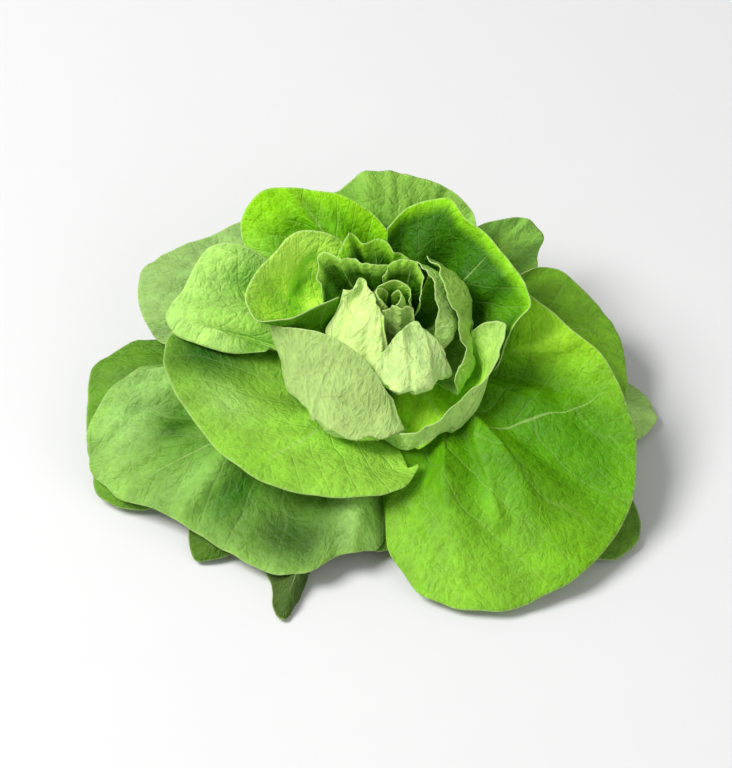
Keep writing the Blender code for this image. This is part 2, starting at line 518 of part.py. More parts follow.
def spaced(sheets):
    """Moves apart, square to each other, the few places where leaves that are in order still nearly touch."""
    faces = [triangles_of(s.shape[0] - 1, s.shape[1] - 1) for s in sheets]
    places = [samples_of(s.shape[0] - 1, s.shape[1] - 1) for s in sheets]
    for _ in range(SPACE_ROUNDS):
        flat = [s.reshape(-1, 3) for s in sheets]
        trees = [BVHTree.FromPolygons(f.tolist(), t.tolist()) for f, t in zip(flat, faces)]
        spots = [f[place].mean(axis=1) for f, place in zip(flat, places)]
        total = [np.zeros((len(f), 4)) for f in flat]
        for mover in range(len(sheets)):
            for other in range(len(sheets)):
                low, high = flat[other].min(0) - CLEARANCE, flat[other].max(0) + CLEARANCE
                near = np.nonzero(((spots[mover] > low) & (spots[mover] < high)).all(axis=1))[0]
                for n in near if mover != other else ():
                    spot, _, face, away = trees[other].find_nearest(Vector(spots[mover][n]), CLEARANCE)
                    if spot is None or away < 1e-6:
                        continue
                    push = (spots[mover][n] - np.array(spot)) / away * (CLEARANCE - away) * PUSH_SHARE
                    for corner in range(3):
                        total[mover][places[mover][n, corner]] += (*push, 1)
                        total[other][faces[other][face, corner]] += (*-push, 1)
        if not any(t[:, 3].any() for t in total):
            break
        for n, sheet in enumerate(sheets):
            move = total[n][:, :3] / np.maximum(total[n][:, 3:], 1)
            sheets[n] = hold_limits(sheet + move.reshape(sheet.shape))
    return sheets


def smoothed(field, share):
    """A field over a sheet's grid, drawn towards the average of its neighbours by this share."""
    wide = np.pad(field, ((1, 1), (1, 1), (0, 0)), mode="edge")
    around = (wide[:-2, 1:-1] + wide[2:, 1:-1] + wide[1:-1, :-2] + wide[1:-1, 2:]) / 4
    return field * (1 - share) + around * share


def hold_limits(sheet):
    """Keeps a sheet above the table, clear of the stem, and its foot on the stem."""
    sheet = sheet.copy()
    sheet[..., 2] = np.maximum(sheet[..., 2], TABLE_GAP)
    sheet[:, 0, 2] = np.clip(sheet[:, 0, 2], LOWEST_FOOT, HIGHEST_FOOT)
    radius = np.maximum(np.hypot(sheet[..., 0], sheet[..., 1]), 1e-6)
    least = np.where(sheet[..., 2] < STEM_HEIGHT + TIP_SPAN, stem_radius(sheet[..., 2]) + STEM_GAP, 0)
    grow = np.maximum(least / radius, 1.0)
    grow[:, 0] = (stem_radius(sheet[:, 0, 2]) + STEM_GAP) / radius[:, 0]
    sheet[..., :2] *= grow[..., None]
    return sheet


def material(name, colour, roughness):
    """A Principled material of one colour."""
    made = bpy.data.materials.new(name)
    made.use_nodes = True
    shader = made.node_tree.nodes["Principled BSDF"]
    shader.inputs["Base Color"].default_value = (*colour, 1.0)
    shader.inputs["Roughness"].default_value = roughness
    shader.inputs["Metallic"].default_value = 0.0
    return made


def sheet_mesh(name, sheet):
    """A grid mesh whose points lie on the sheet, in metres."""
    across, along = sheet.shape[0] - 1, sheet.shape[1] - 1
    shape = bmesh.new()
    bmesh.ops.create_grid(shape, x_segments=across, y_segments=along, size=1.0)
    for vert in shape.verts:
        i = round((vert.co.x + 1) / 2 * across)
        j = round((vert.co.y + 1) / 2 * along)
        vert.co = sheet[i, j] * MM
    shape.normal_update()
    mesh = bpy.data.meshes.new(name)
    shape.to_mesh(mesh)
    shape.free()
    return mesh


def leaf_object(leaf, sheet, collection, finish):
    """One leaf: its sheet cut into triangles, alike on both faces, and given its thickness."""
    made = bpy.data.objects.new(leaf.name, sheet_mesh(leaf.name, sheet))
    made.data.materials.append(finish)
    collection.objects.link(made)
    cut = made.modifiers.new("triangles", "TRIANGULATE")
    cut.quad_method = "FIXED"
    wall = made.modifiers.new("thickness", "SOLIDIFY")
    wall.thickness = LEAF_THICKNESS * MM
    wall.offset = 0.0
    return made


def stem_object(collection, finish):
    """The cut stem: a turned solid with a flat foot, which the leaves are joined to."""
    outline = [(STEM_TIP_RADIUS, STEM_HEIGHT), (STEM_FOOT_RADIUS, STEM_STRAIGHT),
               (STEM_FOOT_RADIUS, FOOT_BEVEL), (STEM_FOOT_RADIUS - FOOT_BEVEL, 0.0)]
    profile = [(0.0, STEM_HEIGHT + STEM_TIP_RADIUS / 2)] + outline + [(0.0, 0.0)]
    shape = bmesh.new()
    verts = [shape.verts.new((r * MM, 0.0, z * MM)) for r, z in profile]
    for first, second in zip(verts, verts[1:]):
        shape.edges.new((first, second))
    mesh = bpy.data.meshes.new("stem")
    shape.to_mesh(mesh)
    shape.free()
    made = bpy.data.objects.new("stem", mesh)
    made.data.materials.append(finish)
    collection.objects.link(made)
    turned = made.modifiers.new("turned", "SCREW")
    turned.steps = turned.render_steps = STEM_SIDES
    turned.use_merge_vertices = True
    turned.merge_threshold = 0.0001
    return made


def clear_scene():
    """Removes what the file opened with."""
    for old in list(bpy.data.objects):
        bpy.data.objects.remove(old, do_unlink=True)


def main():
    clear_scene()
    collection = bpy.data.collections.new("butterhead_lettuce")
    bpy.context.scene.collection.children.link(collection)
    heart_finish = material("heart_leaf", (0.46, 0.66, 0.20), 0.5)
    finishes = {
        LOW: material("outer_leaf", (0.13, 0.34, 0.04), 0.5),
        WRAPPER: material("wrapper_leaf", (0.20, 0.46, 0.05), 0.45),
        HEAD: material("head_leaf", (0.30, 0.56, 0.09), 0.45),
        BUD: heart_finish,
        HEART: heart_finish,
    }
    stem_object(collection, material("stem_flesh", (0.78, 0.82, 0.60), 0.55))
    sheets = [leaf_sheet(leaf, order) for order, leaf in enumerate(LEAVES)]
    shifts = arranged(LEAVES, sheets)
    sheets = [shifted(sheet, leaf.azimuth, shift) for leaf, sheet, shift in zip(LEAVES, sheets, shifts)]
    sheets = spaced(settle(LEAVES, sheets))
    for leaf, sheet in zip(LEAVES, sheets):
        leaf_object(leaf, sheet, collection, finishes[leaf.size])


main()
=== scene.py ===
import math
from collections import namedtuple

import bpy
import numpy as np
from bpy.props import FloatProperty, FloatVectorProperty, IntProperty, PointerProperty
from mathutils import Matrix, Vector
from mathutils.bvhtree import BVHTree


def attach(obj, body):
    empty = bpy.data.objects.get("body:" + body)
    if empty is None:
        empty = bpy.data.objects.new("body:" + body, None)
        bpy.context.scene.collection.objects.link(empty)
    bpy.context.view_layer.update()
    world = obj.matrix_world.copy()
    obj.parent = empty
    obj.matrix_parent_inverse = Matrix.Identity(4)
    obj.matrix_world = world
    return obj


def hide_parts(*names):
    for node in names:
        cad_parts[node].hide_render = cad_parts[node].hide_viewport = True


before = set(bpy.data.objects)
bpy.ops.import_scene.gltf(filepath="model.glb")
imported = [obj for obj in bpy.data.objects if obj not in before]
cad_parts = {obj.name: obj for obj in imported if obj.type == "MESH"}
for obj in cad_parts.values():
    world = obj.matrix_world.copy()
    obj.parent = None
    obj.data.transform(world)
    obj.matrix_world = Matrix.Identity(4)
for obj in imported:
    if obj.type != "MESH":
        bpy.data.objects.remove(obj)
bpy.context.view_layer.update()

bl_info = {
    "name": "Butterhead lettuce",
    "version": (1, 0, 0),
    "blender": (4, 5, 0),
    "location": "View3D > Sidebar > Lettuce",
    "description": "Crinkled, veined leaves and a cut stem around the packed model of a butterhead lettuce",
    "category": "Object",
}

MM = 0.001

# Driving dimensions, in millimetres and degrees. The origin is the middle of the stem's cut face. The
# leaves' rims were measured from the middle of the whole lettuce, and the stem stands at this spot there.
STEM_SPOT = (-3.0, 14.0, 0.0)
STEM_HEIGHT = 60.0
STEM_FOOT_RADIUS = 15.0
STEM_TIP_RADIUS = 4.0
STEM_STRAIGHT = 9.0
FOOT_BEVEL = 1.2

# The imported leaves' thickness, the heights between which leaves are joined to the stem, the gaps that they
# keep to the stem, also a little above its tip, and to the table, and the share of a leaf that is its foot.
LEAF_THICKNESS = 0.8
LOWEST_JOINT = 9.0
HIGHEST_JOINT = 53.0
STEM_GAP = 0.8
TIP_SPAN = 3.0
TABLE_GAP = 1.2
FOOT_SHARE = 0.12

# How a leaf's line bends between foot and rim: how strongly the foot's direction turns the rim's, the shares
# of the line's length for which its ends keep their own direction, and the same where it passes a belly.
OUTWARD_PULL = 0.6
FOOT_PULL = 0.42
RIM_PULL = 0.36
BELLY_FOOT_PULL = 1.2
BELLY_PACE = 0.8

# The arranging of the leaves: a grid of bearings in degrees and distances in mm round a hub below the table,
# and the angle above it at which the stem's axis counts as reached.
HUB_HEIGHT = -50.0
TURN_STEP = 5.0
TURNS = 72
REACH_STEP = 4.0
REACHES = 44
AXIS_ANGLE = 88.5
STEM_READINGS = 200

# The gap in mm kept on the grid, how much wider it may get where a leaf leans, and how little a leaf's foot
# counts beside its rim. Then how often the leaves are put in order and evened out between, and by what share,
# how many cells a leaf's shift is carried on past its border, and the height that leaves are looked for from.
FIELD_GAP = 2.0
MOST_LEANING = 3.5
UNSURE = 0.08
ORDER_ROUNDS = 24
EVEN_PASSES = 2
EVEN_SHARE = 0.6
FIELD_MARGIN = 4
ABOVE_ALL = 400.0

# Each size of leaf: cells across and along, and half of the angle that its foot spans on the stem.
Size = namedtuple("Size", "across along foot_half_angle")
LOW = Size(10, 5, 30)
WRAPPER = Size(14, 6, 36)
HEAD = Size(13, 6, 42)
HEART = Size(9, 5, 50)
BUD = Size(7, 4, 60)

# azimuth is the leaf's direction seen from above, with +X at 0 and +Y at 90. rise is how steeply the
# leaf leaves the stem. pleats are (count, depth, phase) of the radial waves. rim is the leaf's edge from
# its clockwise end to its other end: points (x, y, z) in mm, each with the blade's slope there. belly is a
# second line of points that the blade passes through on its way, for the leaves that bulge.
Leaf = namedtuple("Leaf", "name size azimuth rise pleats rim belly", defaults=[None])

LEAVES = [
    Leaf("leaf_low_back", LOW, 88, 12, (2, 3, 40),
         [(52, 62, 14, 0), (48, 92, 8, -15), (22, 112, 5, -20), (-14, 116, 4, -20), (-44, 96, 8, -15),
          (-50, 62, 14, 0)]),
    Leaf("leaf_low_back_left", LOW, 143, 12, (2, 3, 10),
         [(-34, 78, 16, 0), (-58, 100, 7, -15), (-88, 98, 4, -25), (-112, 72, 5, -20), (-112, 42, 10, -10),
          (-84, 22, 16, 0)]),
    Leaf("leaf_low_back_right", LOW, 32, 12, (2, 3, 70),
         [(76, 14, 16, 0), (100, 34, 8, -15), (102, 66, 4, -20), (82, 90, 5, -20), (50, 98, 9, -10),
          (34, 72, 16, 0)]),
    Leaf("leaf_low_front", LOW, -112, 10, (2, 2, 20),
         [(-72, -48, 14, 0), (-76, -70, 9, -10), (-68, -86, 6, -15), (-61, -101, 5, -20),
          (-60, -118, 3, -30), (-54, -126, 3, -30), (-48, -116, 4, -25), (-44, -102, 6, -20),
          (-32, -86, 10, -15), (-16, -58, 14, 0)]),
    Leaf("leaf_low_front_left", LOW, -134, 10, (2, 2, 0),
         [(-98, -22, 14, 0), (-106, -46, 9, -10), (-102, -70, 6, -15), (-96, -92, 4, -25),
          (-84, -90, 4, -20), (-66, -72, 8, -10), (-44, -50, 12, 0)]),
    Leaf("leaf_low_front_middle", LOW, -93, 10, (2, 2, 60),
         [(-36, -54, 14, 0), (-26, -78, 9, -15), (-17, -86, 7, -25), (-8, -89, 5, -25), (4, -82, 7, -15),
          (14, -58, 12, 0)]),
    Leaf("leaf_low_front_right", LOW, -43, 12, (2, 2, 30),
         [(56, -70, 12, 0), (84, -86, 6, -10), (99, -92, 4, -20), (110, -90, 3, -25), (118, -79, 4, -20),
          (120, -66, 5, -15), (112, -48, 9, -5), (84, -26, 14, 0)]),
    Leaf("leaf_low_right", LOW, -6, 12, (2, 2, 50),
         [(84, -34, 12, 0), (112, -20, 7, -15), (126, -10, 5, -25), (131, 1, 5, -25), (126, 12, 7, -15),
          (114, 20, 11, -5), (84, 28, 14, 0)]),
    Leaf("leaf_low_left", WRAPPER, 188, 14, (3, 3, 30),
         [(-86, 44, 26, 0), (-116, 34, 28, -5), (-136, 28, 27, -10), (-150, 20, 21, -20),
          (-153, 0, 14, -20), (-152, -26, 8, -25), (-142, -55, 5, -30), (-126, -60, 5, -20),
          (-96, -46, 10, 0)]),
    Leaf("leaf_front_left_wide", WRAPPER, -138, 26, (3, 5, 10),
         [(-82, 20, 32, 5), (-112, 10, 36, 5), (-132, 3, 36, 0), (-151, -23, 25, -20),
          (-146, -51, 12, -40), (-116, -67, 13, -25), (-73, -98, 8, -20), (-48, -109, 6, -25),
          (-26, -95, 16, -35), (-8, -80, 21, -45), (-2, -56, 22, 0)]),
    Leaf("leaf_back_middle", WRAPPER, 92, 28, (3, 3, 20),
         [(-44, 56, 36, 20), (-52, 82, 40, 0), (-34, 101, 45, -10), (-6, 109, 47, -15), (20, 104, 45, -15),
          (38, 88, 39, -5), (44, 62, 36, 15)]),
    Leaf("leaf_back_right_wavy", WRAPPER, 42, 42, (3, 5, 0),
         [(62, 42, 34, 5), (70, 60, 36, 0), (74, 76, 41, -5), (74, 88, 48, -10), (67, 90, 54, 5),
          (58, 88, 57, 15), (47, 83, 60, 10), (38, 78, 60, 20), (30, 62, 62, 40)]),
    Leaf("leaf_left_back", WRAPPER, 152, 34, (3, 4, 60),
         [(-34, 74, 66, 40), (-55, 82, 68, 25), (-77, 78, 66, 10), (-96, 73, 59, 0), (-113, 69, 53, -5),
          (-125, 64, 47, -15), (-129, 50, 41, -20), (-124, 34, 36, -15), (-110, 18, 34, 0),
          (-88, 8, 36, 10)]),
    Leaf("leaf_right_back", WRAPPER, 6, 34, (3, 4, 30),
         [(82, -22, 30, 5), (104, -14, 25, -5), (115, 2, 22, -20), (115, 19, 26, -20), (111, 35, 31, -15),
          (102, 46, 36, -5), (92, 56, 42, 0), (82, 62, 47, 5), (70, 60, 51, 15), (56, 46, 54, 30)]),
    Leaf("leaf_back", WRAPPER, 85, 56, (4, 4, 20),
         [(46, 46, 62, 45), (42, 62, 72, 50), (36, 76, 80, 45), (22, 83, 87, 30), (10, 86, 88, 20),
          (-6, 87, 91, 15), (-18, 87, 89, 20), (-32, 80, 84, 35), (-44, 70, 76, 45), (-48, 56, 66, 50)]),
    Leaf("leaf_front_right_fan", WRAPPER, -42, 32, (5, 5, 0),
         [(4, -50, 24, 5), (-6, -80, 13, -15), (12, -115, 6, -30), (42, -125, 5, -20), (86, -109, 10, -20),
          (115, -70, 21, -5), (117, -32, 35, 5), (99, 2, 54, 20), (82, 12, 64, 35), (66, 18, 76, 55)]),
    Leaf("leaf_front_left_cup", WRAPPER, -132, 10, (3, 1, 0),
         [(-84, 20, 58, 15), (-104, 18, 56, 5), (-114, 6, 53, -5), (-110, -17, 50, -10),
          (-95, -44, 45, -15), (-73, -66, 40, -20), (-47, -78, 37, -20), (-21, -78, 34, -20),
          (4, -68, 30, -15), (12, -52, 28, 5)],
         [(-60, 18, 46), (-58, 4, 44), (-55, -10, 42), (-46, -30, 39), (-32, -46, 36), (-12, -56, 32),
          (6, -54, 29)]),
    Leaf("leaf_left_folded", WRAPPER, 176, 52, (2, 3, 30),
         [(-58, 36, 78, 50), (-70, 42, 83, 45), (-80, 45, 85, 25), (-91, 45, 82, 5), (-98, 38, 77, -5),
          (-105, 27, 69, -15), (-113, 19, 62, -35), (-110, 11, 58, -45), (-95, 4, 56, -45),
          (-78, 0, 56, -40), (-60, 0, 58, -20)],
         [(-44, 30, 58), (-52, 33, 60), (-60, 35, 62), (-70, 35, 66), (-80, 32, 68), (-90, 27, 68),
          (-101, 21, 66), (-100, 14, 64), (-86, 10, 61), (-70, 7, 57), (-54, 6, 54)]),
    Leaf("leaf_back_left_tall", WRAPPER, 118, 62, (3, 4, 50),
         [(2, 46, 78, 75), (-6, 54, 86, 65), (-18, 63, 93, 50), (-32, 68, 97, 35), (-49, 70, 98, 30),
          (-66, 70, 95, 30), (-75, 64, 88, 30), (-76, 54, 79, 35), (-68, 40, 66, 40)]),
    Leaf("head_right_back", HEAD, 34, 62, (3, 4, 20),
         [(46, -8, 58, 60), (57, 2, 73, 60), (66, 9, 82, 45), (61, 19, 88, 45), (52, 31, 93, 50),
          (41, 42, 98, 55), (33, 47, 100, 60), (28, 56, 104, 45), (18, 57, 102, 50), (6, 55, 99, 65),
          (-4, 48, 92, 80)]),
    Leaf("head_front_right", HEAD, -50, 8, (3, 2, 0),
         [(-8, -38, 40, 88), (4, -45, 41, 85), (18, -45, 44, 75), (30, -37, 50, 65), (41, -28, 56, 60),
          (49, -20, 61, 55), (54, -10, 67, 55), (56, -1, 73, 50), (46, 2, 72, 65), (38, 3, 66, 80)],
         [(-8, -36, 28), (4, -46, 27), (20, -47, 29), (33, -38, 33), (42, -26, 38), (45, -14, 42),
          (42, -4, 44)]),
    Leaf("head_front_left", HEAD, -135, 5, (3, 2, 40),
         [(-58, 16, 62, 95), (-62, 7, 67, 100), (-52, 2, 69, 110), (-38, -3, 71, 120), (-26, -8, 69, 125),
          (-15, -15, 64, 125), (-6, -25, 56, 115), (0, -36, 46, 105)],
         [(-58, 14, 50), (-58, -4, 48), (-50, -24, 46), (-37, -41, 44), (-19, -51, 41), (-4, -53, 38),
          (6, -46, 36)]),
    Leaf("head_left_spoon", HEAD, 158, 66, (2, 2, 0),
         [(-18, 30, 84, 90), (-24, 38, 92, 80), (-37, 41, 96, 70), (-48, 41, 96, 60), (-59, 33, 91, 50),
          (-69, 23, 85, 45), (-74, 13, 78, 40), (-70, 4, 74, 45), (-53, 3, 75, 70), (-41, 8, 77, 80),
          (-28, 14, 79, 90)],
         [(-16, 26, 74), (-24, 31, 74), (-34, 33, 73), (-44, 31, 71), (-52, 26, 68), (-58, 19, 65),
          (-58, 12, 63), (-52, 8, 62), (-44, 7, 63), (-36, 9, 66), (-28, 12, 69)]),
    Leaf("heart_back", HEART, 96, 74, (3, 3, 0),
         [(12, 30, 82, 85), (2, 36, 87, 70), (-8, 42, 91, 60), (-17, 41, 90, 65), (-26, 45, 93, 55),
          (-32, 38, 86, 70)]),
    Leaf("heart_right", HEART, -4, 20, (2, 2, 30),
         [(28, -18, 54, 100), (33, -8, 65, 110), (31, 1, 77, 125), (25, 9, 87, 135), (20, 18, 92, 135),
          (15, 28, 93, 110)],
         [(30, -20, 46), (37, -8, 54), (40, 5, 62), (39, 16, 70), (35, 26, 76), (26, 34, 78)]),
    Leaf("heart_front_right", HEART, -70, 10, (3, 2, 60),
         [(-10, -16, 62, 100), (-2, -11, 71, 110), (5, -4, 78, 120), (10, -2, 79, 120), (15, -5, 75, 120),
          (21, -8, 70, 120), (25, -12, 62, 110)],
         [(-12, -28, 52), (-2, -32, 54), (8, -30, 56), (16, -26, 56), (24, -20, 54), (28, -14, 52)]),
    Leaf("heart_back_left", HEART, 125, 74, (3, 3, 10),
         [(2, 22, 86, 80), (-8, 24, 90, 75), (-18, 26, 92, 75), (-28, 28, 92, 65), (-36, 31, 91, 50),
          (-38, 24, 84, 65), (-34, 16, 76, 80)]),
    Leaf("heart_right_inner", HEART, 0, 40, (2, 2, 0),
         [(20, -8, 68, 110), (20, 2, 79, 120), (20, 10, 86, 130), (17, 19, 91, 130), (11, 26, 92, 110)],
         [(22, -10, 60), (29, 2, 68), (30, 13, 74), (26, 24, 80), (18, 30, 82)]),
    Leaf("heart_left_pale", HEART, -150, 15, (4, 2, 30),
         [(-27, 20, 76, 95), (-25, 16, 83, 105), (-19, 18, 87, 110), (-13, 14, 85, 120), (-8, 8, 82, 120),
          (-6, -2, 76, 110)],
         [(-36, 12, 58), (-36, -4, 58), (-29, -14, 58), (-18, -19, 58), (-7, -20, 57), (0, -18, 56)]),
    Leaf("heart_back_curl", HEART, 50, 76, (2, 2, 20),
         [(12, 10, 80, 95), (12, 18, 86, 85), (12, 27, 90, 70), (6, 31, 91, 60), (-2, 30, 90, 60),
          (-7, 24, 84, 80)]),
    Leaf("heart_middle_front", HEART, -85, 62, (2, 2, 50),
         [(-10, 2, 70, 95), (-8, 5, 78, 100), (-1, 4, 81, 80), (6, 4, 81, 80), (9, 2, 76, 100)]),
    Leaf("heart_middle_back", HEART, 85, 78, (2, 2, 10),
         [(7, 12, 76, 100), (4, 18, 82, 95), (-3, 20, 84, 90), (-9, 15, 80, 100)]),
    Leaf("heart_bud_left", BUD, 190, 70, (2, 1, 0),
         [(-4, 20, 78, 95), (-8, 18, 82, 100), (-10, 14, 84, 105), (-8, 10, 82, 100), (-4, 8, 78, 95)]),
    Leaf("heart_bud_right", BUD, 10, 70, (2, 1, 50),
         [(-2, 9, 76, 95), (2, 10, 80, 100), (3, 14, 81, 105), (2, 18, 80, 100), (-2, 19, 76, 95)]),
]


def stem_radius(z):
    """The stem's radius in mm at height z: straight at the foot, then a cone."""
    share = np.clip((z - STEM_STRAIGHT) / (STEM_HEIGHT - STEM_STRAIGHT), 0, 1)
    return STEM_FOOT_RADIUS + (STEM_TIP_RADIUS - STEM_FOOT_RADIUS) * share


def stem_angles():
    """The stem's own angle above the hub at each reach of the grid; straight up beyond its tip."""
    heights = np.linspace(0, STEM_HEIGHT, STEM_READINGS)
    radii = stem_radius(heights)
    reach = np.hypot(radii, heights - HUB_HEIGHT)
    angle = np.degrees(np.arctan2(heights - HUB_HEIGHT, radii))
    return np.interp(np.arange(REACHES) * REACH_STEP, reach, angle, right=AXIS_ANGLE)


STEM_ANGLES = stem_angles()


def direction(azimuth):
    """Horizontal unit vectors that point at these azimuths, in degrees."""
    turn = np.radians(azimuth)
    return np.stack([np.cos(turn), np.sin(turn), np.zeros_like(turn)], axis=-1)


def smooth_line(points, count):
    """count + 1 rows spread evenly along a smooth line through points whose first 3 columns are x, y, z."""
    rows = np.array(points, float)
    reach = np.concatenate([[0], np.cumsum(np.linalg.norm(np.diff(rows[:, :3], axis=0), axis=1))])
    slopes = np.gradient(rows, reach, axis=0)
    at = np.linspace(0, reach[-1], count + 1)
    low = np.clip(np.searchsorted(reach, at, side="right") - 1, 0, len(rows) - 2)
    span = (reach[low + 1] - reach[low])[:, None]
    t = (at[:, None] - reach[low][:, None]) / span
    return (rows[low] * (2 * t**3 - 3 * t**2 + 1) + slopes[low] * span * (t**3 - 2 * t**2 + t)
            + rows[low + 1] * (3 * t**2 - 2 * t**3) + slopes[low + 1] * span * (t**3 - t**2))


def curve(t, start, leaving, end, arriving):
    """Points at shares t of curves with these ends and these tangents at them."""
    start, end = start[:, None], end[:, None]
    leaving = leaving.reshape(len(leaving), 1, 3)
    arriving = arriving.reshape(len(arriving), 1, 3)
    return (start * (2 * t**3 - 3 * t**2 + 1) + leaving * (t**3 - 2 * t**2 + t)
            + end * (3 * t**2 - 2 * t**3) + arriving * (t**3 - t**2))


def joint_height(order):
    """Where leaf number order is joined to the stem: the outermost leaf lowest."""
    return LOWEST_JOINT + (HIGHEST_JOINT - LOWEST_JOINT) * order / (len(LEAVES) - 1)


def leaf_sheet(leaf, order, across=None, along=None):
    """The middle surface of one leaf as points[across, along, xyz] in mm, before it is nested."""
    across, along = across or leaf.size.across, along or leaf.size.along
    rim = smooth_line(leaf.rim, across)
    rim[:, :3] -= STEM_SPOT
    side = np.linspace(-1, 1, across + 1)
    out = direction(leaf.azimuth + side * leaf.size.foot_half_angle)
    up = np.array([0.0, 0.0, 1.0])
    foot_height = joint_height(order)
    foot = out * (stem_radius(foot_height) + STEM_GAP) + up * foot_height
    ends = rim[:, :3]
    length = np.linalg.norm(ends - foot, axis=1, keepdims=True)
    heading = (ends - foot) / length + out * OUTWARD_PULL
    heading[:, 2] = 0
    heading /= np.linalg.norm(heading, axis=1, keepdims=True)
    slope = np.radians(rim[:, 3:4])
    rise = math.radians(leaf.rise)
    start = out * math.cos(rise) + up * math.sin(rise)
    finish = heading * np.cos(slope) + up * np.sin(slope)
    t = np.linspace(0, 1, along + 1)[None, :, None]
    if leaf.belly is None:
        first = foot + FOOT_PULL * length * start
        second = ends - RIM_PULL * length * finish
        sheet = (foot[:, None] * (1 - t)**3 + first[:, None] * 3 * t * (1 - t)**2
                 + second[:, None] * 3 * t**2 * (1 - t) + ends[:, None] * t**3)
    else:
        bend = smooth_line(leaf.belly, across) - STEM_SPOT
        low = np.linalg.norm(bend - foot, axis=1, keepdims=True)
        high = np.linalg.norm(ends - bend, axis=1, keepdims=True)
        share = (low / (low + high))[:, None]
        pace = (ends - foot)[:, None] * BELLY_PACE
        lower = curve(t / share, foot, start * low * BELLY_FOOT_PULL, bend, pace * share)
        upper = curve((t - share) / (1 - share), bend, pace * (1 - share), ends, finish * high)
        sheet = np.where(t <= share, lower, upper)
    count, depth, phase = leaf.pleats
    wave = depth * np.cos(math.pi * count * side + math.radians(phase))[:, None, None]
    return sheet + normals_of(sheet) * wave * np.sin(math.pi * t) ** 2


def normals_of(sheet):
    """Unit normals of a sheet, on the side that faces up or towards the middle of the head."""
    normal = np.cross(np.gradient(sheet, axis=1), np.gradient(sheet, axis=0))
    return normal / np.maximum(np.linalg.norm(normal, axis=2, keepdims=True), 1e-9)


def triangles_of(across, along):
    """Triangles of a sheet's grid, as rows of indices into its flattened points."""
    i, j = np.meshgrid(np.arange(across), np.arange(along), indexing="ij")
    corner = (i * (along + 1) + j).ravel()
    right = corner + along + 1
    return np.concatenate([np.stack([corner, corner + 1, right + 1], 1),
                           np.stack([corner, right + 1, right], 1)])


def to_polar(sheet, azimuth):
    """Points as (turn, reach, angle): bearing in degrees, distance from the hub in mm, and angle above it."""
    flat = np.hypot(sheet[..., 0], sheet[..., 1])
    height = sheet[..., 2] - HUB_HEIGHT
    turn = np.degrees(np.arctan2(sheet[..., 1], sheet[..., 0]))
    turn = azimuth + (turn - azimuth + 180) % 360 - 180
    return np.stack([turn, np.hypot(flat, height), np.degrees(np.arctan2(height, flat))], axis=-1)


def from_polar(polar):
    """The points in mm of (turn, reach, angle)."""
    turn, reach, angle = np.radians(polar[..., 0]), polar[..., 1], np.radians(polar[..., 2])
    flat = reach * np.cos(angle)
    return np.stack([flat * np.cos(turn), flat * np.sin(turn), HUB_HEIGHT + reach * np.sin(angle)], axis=-1)


def field_of(polar):
    """A leaf's angle over the grid of turns and reaches, and how sure it is; not a number off the leaf."""
    angle = np.full((TURNS, REACHES), np.nan)
    sure = np.full((TURNS, REACHES), np.nan)
    along = polar.shape[1] - 1
    flat = polar.reshape(-1, 3) / (TURN_STEP, REACH_STEP, 1.0)
    faces = triangles_of(polar.shape[0] - 1, along)
    tree = BVHTree.FromPolygons(flat.tolist(), faces.tolist())
    down = Vector((0, 0, -1))
    low_i, low_j = (math.floor(flat[:, axis].min()) for axis in (0, 1))
    high_i, high_j = (math.ceil(flat[:, axis].max()) + 1 for axis in (0, 1))
    for i in range(low_i, high_i):
        for j in range(max(0, low_j), min(REACHES, high_j)):
            spot, _, face, _ = tree.ray_cast(Vector((i, j, ABOVE_ALL)), down)
            if spot is not None:
                share = (faces[face] % (along + 1)).mean() / along
                angle[i % TURNS, j] = spot.z
                sure[i % TURNS, j] = UNSURE + share ** 3
    return angle, sure


def neighbour_sum(field):
    """The sum of a field's four neighbours on the grid, round in turn and closed off in reach."""
    wide = np.pad(field, ((0, 0), (1, 1)))
    return np.roll(field, 1, 0) + np.roll(field, -1, 0) + wide[:, :-2] + wide[:, 2:]


def widened(field, cells):
    """A field carried on past its border by this many cells."""
    for _ in range(cells):
        known = ~np.isnan(field)
        count = neighbour_sum(known.astype(float))
        total = neighbour_sum(np.where(known, field, 0.0))
        field = np.where(known | (count == 0), field, total / np.maximum(count, 1))
    return field


def evened(field, share):
    """A field drawn towards its neighbours' average by this share, inside its own border."""
    known = ~np.isnan(field)
    count = neighbour_sum(known.astype(float))
    around = neighbour_sum(np.where(known, field, 0.0)) / np.maximum(count, 1)
    return np.where(known & (count > 0), field * (1 - share) + around * share, field)


def rising(values, weights):
    """The closest values that never fall, by pooling neighbours that are out of order."""
    pools = []
    for value, weight in zip(values, weights):
        pools.append((value, weight, 1))
        while len(pools) > 1 and pools[-2][0] >= pools[-1][0]:
            last, before = pools.pop(), pools.pop()
            weight = last[1] + before[1]
            pools.append(((last[0] * last[1] + before[0] * before[1]) / weight, weight, last[2] + before[2]))
    return [value for value, _, count in pools for _ in range(count)]


def lean_of(angle):
    """How much wider than square to the leaf its gap must be along the angle, over the grid."""
    reach = np.maximum(np.arange(REACHES) * REACH_STEP, REACH_STEP)[None, :]
    filled = widened(angle, 2)
    rise = np.radians(np.gradient(filled, axis=1)) * reach / REACH_STEP
    bank = np.radians((np.roll(filled, -1, 0) - np.roll(filled, 1, 0)) / 2) / math.radians(TURN_STEP)
    bank = bank / np.maximum(np.cos(np.radians(filled)), 0.1)
    return np.nan_to_num(np.minimum(np.sqrt(1 + rise**2 + bank**2), MOST_LEANING), nan=1.0)


